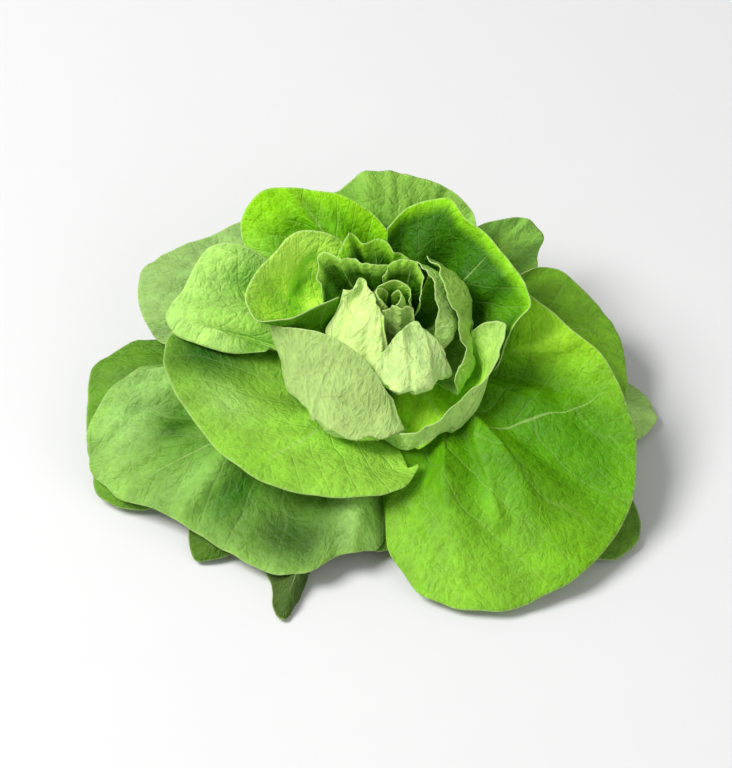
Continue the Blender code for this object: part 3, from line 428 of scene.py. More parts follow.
def in_order(angles, sures, leans):
    """The angle fields moved so that at each spot the leaves lie in their order, a gap apart."""
    result = angles.copy()
    for j in range(REACHES):
        reach = max(j * REACH_STEP, REACH_STEP)
        gap = math.degrees(FIELD_GAP / reach)
        lowest = math.degrees(math.asin(min(1.0, (TABLE_GAP - HUB_HEIGHT) / reach)))
        highest = STEM_ANGLES[j]
        for i in range(TURNS):
            here = np.nonzero(~np.isnan(angles[:, i, j]))[0]
            if not len(here):
                continue
            lean = leans[here, i, j]
            steps = gap * np.concatenate([[0], np.cumsum((lean[1:] + lean[:-1]) / 2)])
            flat = np.array(rising(angles[here, i, j] - steps, sures[here, i, j]))
            flat = np.minimum(np.maximum(flat, lowest), highest - steps[-1])
            result[here, i, j] = flat + steps
    return result


def arranged(leaves, sheets):
    """The leaves' shifts of angle on the grid that put them in order, from the outermost to the innermost."""
    fields = [field_of(to_polar(sheet, leaf.azimuth)) for leaf, sheet in zip(leaves, sheets)]
    angles = np.stack([widened(angle, 1) for angle, _ in fields])
    sures = np.stack([widened(sure, 1) for _, sure in fields])
    shifts = np.zeros_like(angles)
    leans = np.stack([lean_of(angle) for angle, _ in fields])
    for turn in range(ORDER_ROUNDS):
        shifts = in_order(angles + shifts, sures, leans) - angles
        if turn < ORDER_ROUNDS - 1:
            for _ in range(EVEN_PASSES):
                shifts = np.stack([evened(s, EVEN_SHARE) for s in shifts])
    return [widened(s, FIELD_MARGIN) for s in shifts]


def spline_weights(part):
    """The weights of four neighbours on the grid for a smooth reading between the middle two."""
    return [(1 - part) ** 3 / 6, (3 * part ** 3 - 6 * part ** 2 + 4) / 6,
            (3 * part ** 2 - 3 * part ** 3 + 3 * part + 1) / 6, part ** 3 / 6]


def shifted(sheet, azimuth, shift):
    """A sheet moved by its shift of angle, read smoothly from the grid; its foot stays on the stem."""
    polar = to_polar(sheet, azimuth)
    i = polar[..., 0] / TURN_STEP
    j = np.clip(polar[..., 1] / REACH_STEP, 0, REACHES - 1.001)
    low_i, low_j = np.floor(i).astype(int), np.floor(j).astype(int)
    field = np.nan_to_num(shift)
    move = sum(field[(low_i + a - 1) % TURNS, np.clip(low_j + b - 1, 0, REACHES - 1)] * u * v
               for a, u in enumerate(spline_weights(i - low_i))
               for b, v in enumerate(spline_weights(j - low_j)))
    t = np.clip(np.linspace(0, 1, sheet.shape[1]) / FOOT_SHARE, 0, 1)
    polar[..., 2] += move * t * t * (3 - 2 * t)
    return from_polar(polar)


def hold_limits(sheet):
    """Keeps a sheet above the table, clear of the stem, and its foot on the stem."""
    sheet = sheet.copy()
    sheet[..., 2] = np.maximum(sheet[..., 2], TABLE_GAP)
    radius = np.maximum(np.hypot(sheet[..., 0], sheet[..., 1]), 1e-6)
    least = np.where(sheet[..., 2] < STEM_HEIGHT + TIP_SPAN, stem_radius(sheet[..., 2]) + STEM_GAP, 0)
    sheet[..., :2] *= np.maximum(least / radius, 1.0)[..., None]
    return sheet


# How finely the finished blades are drawn: cells across and along, by size of leaf.
DETAIL = {LOW: (64, 40), WRAPPER: (112, 76), HEAD: (100, 68), HEART: (72, 52), BUD: (40, 32)}

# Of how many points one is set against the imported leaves, and how far in mm a round blade may then stay off
# the flat faces of its packed leaf, by size of leaf.
ROOM_STEP = 4
SMOOTHING = {LOW: 0.4, WRAPPER: 0.55, HEAD: 0.5, HEART: 0.45, BUD: 0.45}

# The room for blisters, folds and waves: what stays free between two blades and the most that a blade may
# use, both in mm, and the share of a measured way that is counted on.
LEAST_ROOM = 0.9
MOST_ROOM = 6.0
SURE_SHARE = 0.7

# The surface of a blade. crinkle is the height in mm of the blisters between the veins, grain their width,
# ruffle the height of the waves at the rim, wave their length, laterals the number of side veins a side.
Surface = namedtuple("Surface", "crinkle grain ruffle wave laterals")

# The colours of a blade: its upper face near the rim, in the middle and near the foot, its underside, and
# spots (side, share, breadth, depth, colour, strength) that are darker or paler. Most spots are painted
# shade, where other leaves shadow the blade and in its troughs and folds, and painted highlights on its lit
# parts. side runs from -1 to 1 across the leaf and share from 0 at the foot to 1 at the rim. The rim's colour
# starts at share edge.
Tint = namedtuple("Tint", "rim middle foot under spots edge", defaults=[(), 0.55])

# Where a midrib that isn't in the middle runs: (share, side) along it, from the foot to the rim.
MIDRIBS = {
    "leaf_front_right_fan": [(0.0, -0.2), (0.32, 0.02), (0.4, 0.15), (0.48, 0.26), (0.66, 0.42), (0.89, 0.57),
                             (1.0, 0.6)],
    "leaf_front_left_wide": [(0.0, 0.0), (1.0, -0.15)],
    "leaf_front_left_cup": [(0.0, 0.0), (1.0, 0.15)],
}

# Long soft folds pressed into a blade: (side, share) at both ends, height in mm, and half width in mm.
FOLDS = {
    "leaf_front_right_fan": [((-0.08, 0.3), (-0.2, 0.7), 4.0, 4.5), ((0.05, 0.35), (0.0, 0.8), -3.0, 7.0),
                             ((0.45, 0.4), (0.4, 0.8), -2.5, 10.0), ((0.75, 0.4), (0.8, 0.9), 2.5, 7.0),
                             ((-0.5, 0.4), (-0.45, 0.8), -2.0, 8.0)],
    "leaf_front_left_wide": [((0.1, 0.5), (0.42, 0.86), -6.0, 9.0), ((-0.02, 0.5), (0.05, 0.95), 5.0, 6.0),
                             ((-0.3, 0.55), (-0.42, 0.8), -4.5, 6.0), ((-0.55, 0.5), (-0.62, 0.92), 4.0, 5.0),
                             ((-0.78, 0.6), (-0.8, 0.9), -3.0, 5.0), ((0.7, 0.5), (0.72, 0.97), 6.0, 6.0),
                             ((-0.12, 0.7), (-0.2, 0.95), -3.0, 4.0)],
    "leaf_front_left_cup": [((-0.5, 0.6), (-0.55, 0.9), -1.5, 9.0), ((0.35, 0.55), (0.45, 0.95), 1.5, 9.0)],
    "leaf_left_back": [((0.3, 0.4), (0.45, 0.95), 2.0, 7.0), ((-0.2, 0.5), (-0.25, 0.95), -2.0, 7.0)],
    "leaf_back": [((0.2, 0.5), (0.25, 0.98), 3.0, 6.0), ((-0.3, 0.5), (-0.35, 0.98), -3.0, 6.0),
                  ((-0.65, 0.5), (-0.7, 0.98), 2.5, 6.0)],
    "head_left_spoon": [((-0.5, 0.7), (0.5, 0.68), -3.0, 6.0)],
    "head_right_back": [((-0.2, 0.5), (-0.2, 0.95), 2.0, 5.0), ((0.25, 0.5), (0.3, 0.95), -2.0, 6.0)],
}

SURFACES = {
    LOW: Surface(0.8, 11.0, 1.6, 24.0, 5),
    WRAPPER: Surface(1.1, 13.0, 1.8, 28.0, 6),
    HEAD: Surface(0.6, 13.0, 1.8, 18.0, 5),
    HEART: Surface(0.4, 11.0, 2.8, 11.0, 4),
    BUD: Surface(0.3, 5.0, 0.3, 9.0, 3),
}
OWN_SURFACES = {
    "leaf_front_left_wide": Surface(1.7, 11.0, 2.6, 30.0, 6),
    "leaf_front_right_fan": Surface(1.0, 14.0, 1.8, 36.0, 6),
    "leaf_front_left_cup": Surface(0.6, 15.0, 1.2, 30.0, 6),
    "leaf_left_back": Surface(1.3, 9.0, 1.8, 20.0, 6),
    "leaf_right_back": Surface(1.2, 9.0, 1.6, 24.0, 6),
    "leaf_back": Surface(1.6, 11.0, 3.0, 20.0, 6),
    "leaf_back_left_tall": Surface(0.9, 13.0, 2.6, 24.0, 6),
    "leaf_back_right_wavy": Surface(1.3, 11.0, 3.4, 18.0, 6),
    "leaf_left_folded": Surface(0.3, 18.0, 0.4, 40.0, 5),
    "head_left_spoon": Surface(0.4, 14.0, 1.0, 18.0, 5),
    "head_right_back": Surface(0.5, 16.0, 1.4, 20.0, 6),
    "head_front_left": Surface(0.6, 13.0, 0.9, 18.0, 5),
}

TINTS = {
    LOW: Tint((104, 150, 40), (92, 138, 32), (130, 170, 80), (130, 170, 80)),
    WRAPPER: Tint((136, 196, 44), (108, 170, 20), (130, 180, 60), (156, 198, 96)),
    HEAD: Tint((158, 214, 66), (106, 172, 16), (120, 176, 40), (170, 208, 104)),
    # The heart's dark middle and foot are painted shade, where the inside of the head is shadowed.
    HEART: Tint((178, 224, 90), (90, 152, 14), (70, 126, 8), (184, 222, 114), (), 0.75),
    BUD: Tint((190, 226, 106), (140, 192, 48), (100, 150, 30), (196, 228, 122)),
}
OWN_TINTS = {
    "leaf_low_left": Tint((100, 150, 34), (84, 134, 18), (90, 140, 30), (120, 166, 66)),
    "leaf_low_right": Tint((184, 232, 122), (164, 216, 104), (130, 180, 66), (150, 190, 90)),
    "leaf_low_front": Tint((72, 100, 32), (60, 88, 22), (80, 120, 30), (90, 120, 50)),
    "leaf_low_front_left": Tint((80, 120, 20), (70, 110, 14), (80, 120, 30), (90, 130, 40)),
    # The fan's dark spots are painted shadow where the head shades it. Its pale spots are painted light on
    # its lit lobes and a painted highlight on a ridge.
    "leaf_front_right_fan": Tint((124, 188, 20), (92, 158, 0), (90, 150, 4), (150, 196, 80),
                                 [(-0.55, 0.92, 0.4, 0.32, (142, 200, 54), 0.85),
                                  (0.35, 0.75, 0.25, 0.35, (78, 144, 0), 0.9),
                                  (0.86, 0.85, 0.2, 0.3, (176, 238, 50), 0.9),
                                  (0.62, 0.5, 0.15, 0.2, (80, 142, 0), 0.6),
                                  (-0.15, 0.62, 0.04, 0.2, (140, 198, 66), 0.3)]),
    # The wide leaf's dark spots are painted shade in its troughs, under the cup leaf and on its drooping
    # corner; its pale spots are painted highlights on its ridges.
    "leaf_front_left_wide": Tint((144, 192, 84), (114, 166, 54), (104, 154, 40), (146, 186, 84),
                                 [(0.14, 0.78, 0.09, 0.2, (44, 108, 0), 0.9),
                                  (0.42, 0.82, 0.2, 0.16, (44, 84, 8), 0.95),
                                  (-0.3, 0.67, 0.12, 0.1, (50, 106, 4), 0.9),
                                  (-0.42, 0.84, 0.14, 0.1, (156, 204, 112), 0.7),
                                  (-0.12, 0.72, 0.05, 0.2, (80, 132, 18), 0.6),
                                  (-0.02, 0.86, 0.07, 0.16, (118, 164, 74), 0.6),
                                  (-0.6, 0.8, 0.1, 0.2, (164, 212, 116), 0.6),
                                  (0.72, 0.72, 0.1, 0.25, (164, 214, 106), 0.8),
                                  (-0.78, 0.88, 0.1, 0.08, (96, 146, 40), 0.6)]),
    # The cup's dark spot at its upper left is a painted shadow under the folded leaf; its pale spot is a
    # painted highlight.
    "leaf_front_left_cup": Tint((150, 206, 66), (144, 200, 62), (76, 132, 4), (150, 196, 80),
                                [(-0.66, 0.8, 0.27, 0.24, (22, 82, 0), 0.98),
                                 (-0.3, 0.8, 0.14, 0.12, (172, 222, 112), 0.7),
                                 (0.1, 0.95, 0.3, 0.1, (120, 180, 30), 0.5)]),
    "leaf_left_back": Tint((147, 183, 101), (134, 174, 88), (122, 168, 66), (150, 190, 90)),
    "leaf_right_back": Tint((128, 184, 44), (104, 162, 16), (90, 146, 16), (140, 184, 80)),
    "leaf_back": Tint((146, 196, 76), (112, 172, 36), (84, 146, 10), (150, 190, 96),
                      [(0.45, 0.8, 0.15, 0.4, (84, 140, 14), 0.7)]),
    "leaf_back_right_wavy": Tint((140, 192, 80), (116, 170, 50), (100, 150, 40), (140, 184, 90)),
    # The folded leaf's dark spot is painted shade on the part of its fold that turns away from the light.
    "leaf_left_folded": Tint((178, 228, 112), (160, 214, 88), (150, 204, 80), (150, 196, 84),
                             [(0.9, 0.8, 0.2, 0.6, (90, 150, 20), 0.8)]),
    # The tall leaf's pale spot at its left side is painted light where the light falls on it.
    "leaf_back_left_tall": Tint((150, 218, 10), (104, 174, 0), (80, 140, 0), (170, 214, 96),
                                [(0.9, 0.9, 0.25, 0.6, (176, 228, 98), 0.9),
                                 (-0.2, 0.8, 0.3, 0.15, (108, 176, 4), 0.8)], 0.7),
    # head_right_back's dark middle and foot are painted shade inside the head.
    "head_right_back": Tint((150, 222, 16), (57, 115, 0), (46, 98, 0), (150, 200, 80),
                            [(-0.45, 0.85, 0.09, 0.22, (110, 182, 0), 0.7)], 0.88),
    # head_front_right's bright middle and foot are painted light, raised against the shade that it lies in.
    "head_front_right": Tint((186, 232, 110), (172, 238, 44), (190, 244, 56), (190, 228, 124),
                             [(0.7, 0.88, 0.3, 0.2, (196, 238, 124), 0.8)], 0.75),
    "head_front_left": Tint((160, 200, 90), (110, 160, 40), (90, 140, 30), (172, 202, 116)),
    # The spoon's bright middle is painted light against its shade and its dark underside is painted shade.
    # Its dark spot is painted shade in its trough, and its pale spot is painted light on its upper part.
    "head_left_spoon": Tint((190, 244, 90), (192, 246, 76), (110, 170, 8), (84, 144, 4),
                            [(-0.25, 0.66, 0.3, 0.04, (90, 150, 6), 0.7),
                             (-0.5, 0.86, 0.25, 0.1, (196, 244, 96), 0.8)], 0.85),
    # In the heart leaves below, the dark middle and foot are painted shade, where the inside of the head is
    # shadowed.
    "heart_left_pale": Tint((206, 240, 136), (100, 160, 30), (80, 140, 16), (212, 248, 144), (), 0.8),
    "heart_front_right": Tint((202, 238, 130), (90, 150, 26), (80, 140, 16), (202, 236, 144), (), 0.8),
    "heart_right": Tint((186, 224, 118), (146, 192, 76), (70, 130, 10), (158, 202, 84), (), 0.75),
    "heart_right_inner": Tint((176, 222, 96), (128, 184, 44), (60, 120, 6), (170, 210, 110), (), 0.75),
    "heart_back": Tint((150, 214, 44), (56, 110, 0), (44, 92, 0), (130, 190, 40), (), 0.8),
    "heart_back_left": Tint((170, 226, 80), (60, 114, 2), (50, 98, 0), (140, 200, 50), (), 0.8),
    "heart_back_curl": Tint((160, 218, 66), (54, 106, 0), (44, 92, 0), (150, 206, 66), (), 0.78),
}

# How many mm one unit of the flat map and of the vein chart is, where along the blade its width is measured
# for the map, and half of the widest angle that a blade is laid out over, in radians.
FLAT_STEP = 100.0
CHART_STEP = 10.0
FLAT_ROW = 0.7
WIDEST_HALF_ANGLE = 1.4

# The first leaf's seed for its random heights, and how far the next leaf's is from it.
FIRST_SEED = 100
SEED_STEP = 7

# The side veins: how far they lean towards the rim and spread, the share of the blade that they are spaced
# over, how far they wander and over how many mm, and within how many mm of the midrib the two sides meet.
LATERAL_LEAN = 0.5
LATERAL_FAN = 0.45
LATERAL_SHARE = 0.8
VEIN_DRIFT = 0.16
DRIFT_WIDTH = 16
MEETING_WIDTH = 3.0

# The raised side veins under a blade: the shares of it between which they show, the most that one may jump
# from one point to the next, their fewest points, their width at the tip and how it falls to that, how far
# they are sunk, as a share of their radius, and their radius by size of leaf, as a share of the widest.
FIRST_SHARE = 0.12
LAST_SHARE = 0.93
MOST_JUMP = 0.04
FEWEST_POINTS = 5
TIP_WIDTH = 0.3
TAPER = 0.6
SUNK_SHARE = 0.5
VEIN_SHARE = {LOW: 0.75, WRAPPER: 0.85, HEAD: 0.45, HEART: 0.36, BUD: 0.3}

# The blisters: how many times smaller and how high the second kind is beside the first, how round the creases
# between them are, the shares of the blade between which they rise, and how much lower they are at the rim.
SMALLER_TIMES = 2.1
SMALLER_SHARE = 0.45
CREASE = 0.02
BLISTER_START = (0.02, 0.25)
RIM_LOWER = 0.5

# The grooves over the veins: over a side vein, the breadth beside the veins' spacing, the depth beside the
# blisters' height and how much shallower it is at the rim, and over the midrib, which is 1 mm deep, half of
# the width in mm.
GROOVE_BREADTH = 0.15
GROOVE_DEPTH = 0.7
GROOVE_LOSS = 0.6
MIDDLE_WIDTH = 3.0

# The midrib under a blade: its width at the tip beside that at the foot, how the width and the height fall
# towards the tip, and the share of the blade over which it rises.
MIDRIB_TIP = 0.25
MIDRIB_NARROWING = 1.2
MIDRIB_LOWERING = 0.8
MIDRIB_START = 0.06

# The rim: how many bumps a wave and a smaller wave have over a wave's length, how high the smaller one is,
# and the width in mm and height of the outline's notches beside the waves' height.
WAVE_BUMPS = 2
SMALL_WAVE_BUMPS = 4.3
SMALL_WAVE_SHARE = 0.5
NOTCH_WIDTH = 13
NOTCH_SHARE = 0.6

# How uneven the colour is: the width in mm and strength of its clouds, the numbers of streaks across and
# along, their strength and the shares of the blade between which they set in.
CLOUD_WIDTH = 22
CLOUD_SHARE = 0.12
STREAKS = (9, 1.6)
STREAK_SHARE = 0.16
STREAK_START = (0.1, 0.4)

# Where along the blade the foot's colour gives way, on the upper face and on the underside, and what the
# underside's colour goes halfway to at the foot.
UPPER_FOOT = (0.05, 0.5)
UNDER_FOOT = (0.1, 0.7)
PALE_FOOT = (206, 226, 160)
PALE_SHARE = 0.5

# How many heights each way the table of random heights has before it repeats.
TABLE_SIZE = 64

# How the two faces of a blade differ: how strongly the net, the midrib and the side veins show in the
# colour, how far the side veins stand out, which way the relief goes, and how much rougher the face is.
Face = namedtuple("Face", "net midrib lateral raised relief rougher")
UPPER = Face(0.07, 0.4, 0.13, 0.5, -1.0, -0.07)
UNDER = Face(0.1, 0.6, 0.26, 0.2, 1.0, 0.04)
BLADE_ROUGHNESS = 0.6

# The patterns on a blade, in cells or waves to one unit of the flat map: the net of small veins and the
# finer mesh in it, how they wander, specks and clouds.
NET_SCALE = 17.0
MESH_SCALE = 42.0
WANDER_SCALE = 14.0
WANDER_WAY = (0.05, 0.05, 0.0)
SPECK_SCALE = 60.0
CLOUD_SCALE = 9.0

# The painted veins: the midrib's half width in mm at the foot beyond its least one, where its edge lies in
# shares of that, and where along the blade it ends; a side vein's edge in shares of the veins' spacing, and
# how much fainter it is at the rim. Then the rim's pale edge in mm, and how strong that is.
PAINTED_WIDTH = 1.6
PAINTED_LEAST = 0.3
MIDRIB_EDGE = (0.45, 1.0)
MIDRIB_END = (0.8, 0.95)
LATERAL_EDGE = (0.012, 0.055)
LATERAL_LOSS = 0.55
RIM_EDGE = (0.1, 1.3)
RIM_SHARE = 0.4

# How far clouds and specks change a blade's brightness, its level, and how far clouds change its roughness.
CLOUD_SHADE = 0.5
SPECK_SHADE = 0.25
SHADE_LEVEL = 0.98
CLOUD_ROUGHNESS = 0.25

# The blade's bumps: where the net's and the mesh's lines end in shares of a cell, the heights of the net,
# the mesh and the specks, and the whole relief's strength and height in metres.
NET_PAINT = (0.0, 0.3)
NET_EDGE = (0.0, 0.45)
MESH_EDGE = (0.0, 0.5)
NET_HEIGHT = 0.5
MESH_HEIGHT = 0.25
SPECK_HEIGHT = -0.3
BLADE_BUMP = (0.7, 0.001)

# Leaf and stem flesh: how it bends light, how it shines, and how much light soaks in and how far by colour.
FLESH_IOR = 1.42
FLESH_SHINE = 0.27
SOAK_SHARE = 0.35
SOAK_RADIUS = (0.6, 1.0, 0.25)

# The flesh of raised veins and rims: how fine its grain and clouds are, to one metre, how dark the clouds
# are, its bumps' strength and height in metres, and its roughness.
RIB_GRAIN = 900.0
RIB_CLOUDS = 60.0
RIB_SHADE = 0.72
RIB_BUMP = (0.3, 0.0003)
RIB_ROUGHNESS = 0.4

# The stem's mesh: points round it, rows of points on its cut face, its straight part and its cone, and the
# radius of the cut face's first row.
STEM_SIDES = 96
CUT_ROWS = 12
STRAIGHT_ROWS = 24
CONE_ROWS = 40
FIRST_RADIUS = 1.2

# The stem's relief in mm: the leaf scars' depth, how fast they follow one another up it, and the heights
# that they start and end between, and how uneven the stem is and from where on.
SCAR_DEPTH = 0.35
SCAR_PACE = 1.9
SCAR_START = (1.0, 2.5)
SCAR_END = (7.5, 10.0)
LUMP_DEPTH = 0.25
LUMP_START = 1.0

# The stem's cut face, in mm: how uneven its pattern is, the ring of vessels' radius and edge, the browned
# edge, and how far up the face's colour goes. Then how strong the ring and the edge are, how browned and
# how dark its side gets, how high the ring stands, and the whole relief's strength and height in metres.
CUT_WOBBLE = 3.0
RING_RADIUS = 9.6
RING_EDGE = (0.3, 1.4)
BROWNED_EDGE = (12.0, 14.6)
CUT_EDGE = (0.25, 1.0)
RING_SHARE = 0.5
BROWNED_SHARE = 0.8
BROWNED = (0.62, 0.48, 0.36)
STEM_SHADE = 0.8
RING_HEIGHT = 0.6
STEM_BUMP = (0.5, 0.0006)

# The stem's grain and clouds, to one metre, its roughness, and how deep light soaks in, in metres.
STEM_GRAIN = 700.0
STEM_CLOUDS = 160.0
STEM_ROUGHNESS = 0.5
STEM_LIGHT_DEPTH = 0.002

# The stage: where the camera looks, each lamp's place and size, in metres, the camera's sensor width, and
# half of the floor's side, in mm.
LOOK_AT = Vector((-0.0115, 0.0012, 0.0137))
KEY_SPOT = (-1.5, -0.2, 2.0)
KEY_SIZE = 1.3
FILL_SPOT = (0.9, -0.9, 0.9)
FILL_SIZE = 1.4
SENSOR_WIDTH = 36.0
FLOOR_HALF = 6000.0

# How fine the floor's grain is, to one metre, how dark it gets, and the floor's roughness.
FLOOR_GRAIN = 40.0
FLOOR_SHADE = 0.985
FLOOR_ROUGHNESS = 0.8


def bumps(x, y, seed):
    """Smooth random heights from -1 to 1, about one bump to each unit square."""
    table = np.random.default_rng(seed).uniform(-1, 1, (TABLE_SIZE, TABLE_SIZE))
    i, j = np.floor(x).astype(int), np.floor(y).astype(int)
    u, v = x - i, y - j
    u, v = u * u * u * (u * (u * 6 - 15) + 10), v * v * v * (v * (v * 6 - 15) + 10)
    return sum(table[(i + a) % TABLE_SIZE, (j + b) % TABLE_SIZE] * (u if a else 1 - u) * (v if b else 1 - v)
               for a in (0, 1) for b in (0, 1))


def eased(low, high, value):
    """0 below low, 1 above high, and a smooth step between."""
    share = np.clip((value - low) / (high - low), 0, 1)
    return share * share * (3 - 2 * share)


def laid_flat(sheet, middle):
    """The blade's points laid flat, in mm: the foot at the origin and the sides in middle straight up."""
    reach = np.concatenate([np.zeros((len(sheet), 1)),
                            np.cumsum(np.linalg.norm(np.diff(sheet, axis=1), axis=2), axis=1)], axis=1)
    row = round(sheet.shape[1] * FLAT_ROW)
    width = np.linalg.norm(np.diff(sheet[:, row], axis=0), axis=1).sum()
    half = min(width / 2 / reach[:, row].mean(), WIDEST_HALF_ANGLE)
    turn = (np.linspace(-1, 1, len(sheet))[:, None] - middle) * half
    return reach * np.sin(turn), reach * np.cos(turn)


class Blade:
    """One leaf's finished surface and what is known of each of its points."""

    def __init__(self, leaf, order, sheet, room):
        self.leaf = leaf
        self.room = room
        midrib = np.array(MIDRIBS.get(leaf.name, [(0.0, 0.0), (1.0, 0.0)]))
        self.surface = OWN_SURFACES.get(leaf.name, SURFACES[leaf.size])
        self.tint = OWN_TINTS.get(leaf.name, TINTS[leaf.size])
        self.seed = FIRST_SEED + SEED_STEP * order
        self.side = np.linspace(-1, 1, sheet.shape[0])[:, None] * np.ones(sheet.shape[1])
        self.share = np.linspace(0, 1, sheet.shape[1])[None, :] * np.ones(sheet.shape[0])[:, None]
        self.x, self.y = laid_flat(sheet, 0.0)
        self.beside, along = laid_flat(sheet, np.interp(self.share[0], *midrib.T))
        length = np.hypot(self.x, self.y)[:, -1].max()
        drift = self.bumps_over(DRIFT_WIDTH, 1)
        across, up = np.abs(self.beside) / length, along / length
        family = (up - LATERAL_LEAN * across) / (1 + LATERAL_FAN * across)
        offset = np.where(self.beside < 0, 0.0, 0.5) * eased(0.0, MEETING_WIDTH, np.abs(self.beside))
        self.lateral = family * self.surface.laterals / LATERAL_SHARE + offset + VEIN_DRIFT * drift
        steps = np.linalg.norm(np.diff(sheet, axis=1), axis=2)
        self.rim = np.pad(np.cumsum(steps[:, ::-1], axis=1)[:, ::-1], ((0, 0), (0, 1)))
        self.normal = normals_of(sheet)
        self.sheet = self.finished(sheet)

    def bumps_over(self, width, draw, times=1):
        """Smooth random heights over the blade: so many bumps to so many mm, another set for each draw."""
        return bumps(self.x / width * times, self.y / width * times, self.seed + draw)

    def finished(self, sheet):
        """The sheet with its blisters, sunken veins, folds, waved rim and slightly uneven outline."""
        s = self.surface
        first = self.bumps_over(s.grain, 2)
        second = self.bumps_over(s.grain, 3, SMALLER_TIMES)
        blister = np.sqrt(first ** 2 + CREASE) + SMALLER_SHARE * np.sqrt(second ** 2 + CREASE) - SMALLER_SHARE
        away = np.abs(self.lateral % 1 - 0.5)
        groove = np.exp(-(away / GROOVE_BREADTH) ** 2) * (1 - GROOVE_LOSS * self.share)
        middle = np.exp(-(self.beside / MIDDLE_WIDTH) ** 2) * (1 - self.share) ** 0.5
        fade = eased(*BLISTER_START, self.share) * (1 - RIM_LOWER * self.share ** 8)
        relief = s.crinkle * (blister - GROOVE_DEPTH * groove) * fade - middle * fade
        edge = np.linalg.norm(np.diff(sheet[:, -1], axis=0), axis=1)
        run = np.concatenate([[0], np.cumsum(edge)])[:, None]
        line = np.full_like(run, 0.5)
        beat = bumps(run / s.wave * WAVE_BUMPS, line, self.seed + 4)
        beat = beat + SMALL_WAVE_SHARE * bumps(run / s.wave * SMALL_WAVE_BUMPS, line, self.seed + 5)
        inside = 1 - self.side ** 6
        wave = s.ruffle * beat * self.share ** 3 * inside
        outward = np.gradient(sheet, axis=1)
        outward = outward / np.maximum(np.linalg.norm(outward, axis=2, keepdims=True), 1e-9)
        notch = bumps(run / NOTCH_WIDTH, line, self.seed + 6) * self.share ** 6 * inside
        notch = notch * s.ruffle * NOTCH_SHARE
        move = np.clip(relief + wave + self.folds(), -self.room[0], self.room[1])
        sheet = sheet + self.normal * move[..., None] + outward * notch[..., None]
        sheet[..., 2] = np.maximum(sheet[..., 2], TABLE_GAP)
        return sheet

    def folds(self):
        """The height of the blade's own long folds at each point."""
        total = np.zeros_like(self.x)
        for first, last, height, width in FOLDS.get(self.leaf.name, ()):
            ends = [np.array((self.place(self.x, *end), self.place(self.y, *end))) for end in (first, last)]
            way = ends[1] - ends[0]
            spot = np.stack([self.x, self.y], axis=2) - ends[0]
            at = np.clip((spot @ way) / (way @ way), 0, 1)
            away = np.linalg.norm(spot - at[..., None] * way, axis=2)
            total += height * np.exp(-(away / width) ** 2)
        return total

    def place(self, values, side, share):
        """What a value is at a side and share of the blade."""
        rows, columns = values.shape
        return values[round((side + 1) / 2 * (rows - 1)), round(share * (columns - 1))]

    def under_colour(self):
        """The underside's colour at each point, linear: paler towards the foot."""
        paint = linear(self.tint.under) * np.ones(self.share.shape + (3,))
        pale = (1 - eased(*UNDER_FOOT, self.share))[..., None]
        paint = paint + (linear(PALE_FOOT) - paint) * PALE_SHARE * pale
        return paint * (1 + CLOUD_SHARE * self.bumps_over(CLOUD_WIDTH, 8))[..., None]

    def colour(self):
        """The upper face's colour at each point, linear, before its veins and mottling."""
        rim, middle, foot = (linear(c) for c in (self.tint.rim, self.tint.middle, self.tint.foot))
        outer = eased(self.tint.edge, 1.0, self.share)[..., None]
        inner = (1 - eased(*UPPER_FOOT, self.share))[..., None]
        # The middle and foot colours hold painted shade on the inner leaves and painted light on some shaded
        # ones.
        paint = middle * (1 - outer) * (1 - inner) + rim * outer * (1 - inner) + foot * inner
        # Painted shade and painted highlights: each spot darkens or lightens the blade where shade or light
        # falls.
        for side, share, breadth, depth, colour, strength in self.tint.spots:
            light_and_shade_spot = np.exp(-((self.side - side) / breadth) ** 2 - ((self.share - share) / depth) ** 2)
            paint = paint + (linear(colour) - paint) * (light_and_shade_spot * strength)[..., None]
        streaks = bumps(self.side * STREAKS[0], self.share * STREAKS[1], self.seed + 9)
        streaks = streaks * eased(*STREAK_START, self.share)
        return paint * (1 + CLOUD_SHARE * self.bumps_over(CLOUD_WIDTH, 7) + STREAK_SHARE * streaks)[..., None]


def linear(colour):
    """A linear colour from one of 0 to 255 as seen on a screen."""
    value = np.array(colour, float) / 255
    return np.where(value <= 0.04045, value / 12.92, ((value + 0.055) / 1.055) ** 2.4)


def nested():
    """Every leaf's smooth sheet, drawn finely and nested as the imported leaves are."""
    coarse = [leaf_sheet(leaf, order) for order, leaf in enumerate(LEAVES)]
    shifts = arranged(LEAVES, coarse)
    sheets = []
    for order, (leaf, sheet, shift) in enumerate(zip(LEAVES, coarse, shifts)):
        rough = hold_limits(shifted(sheet, leaf.azimuth, shift))
        fine = hold_limits(shifted(leaf_sheet(leaf, order, *DETAIL[leaf.size]), leaf.azimuth, shift))
        fine = hold_limits(fine + drawn_out(rest_of(leaf, rough, LEAF_THICKNESS / 2), fine.shape))
        thin = fine[::ROOM_STEP, ::ROOM_STEP]
        sheets.append(hold_limits(fine + drawn_out(rest_of(leaf, thin, SMOOTHING[leaf.size]), fine.shape)))
    return sheets


def rest_of(leaf, rough, slack):
    """The way from each point of a sheet to its packed leaf's surface, less what may be left of it in mm."""
    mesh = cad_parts[leaf.name].data
    points = np.empty(len(mesh.vertices) * 3)
    mesh.vertices.foreach_get("co", points)
    faces = [tuple(face.vertices) for face in mesh.polygons]
    tree = BVHTree.FromPolygons((points.reshape(-1, 3) / MM).tolist(), faces)
    spots = rough.reshape(-1, 3)
    moves = np.array([tree.find_nearest(Vector(spot))[0] for spot in spots]) - spots
    length = np.maximum(np.linalg.norm(moves, axis=1, keepdims=True), 1e-6)
    return (moves * np.maximum(1 - slack / length, 0)).reshape(rough.shape)


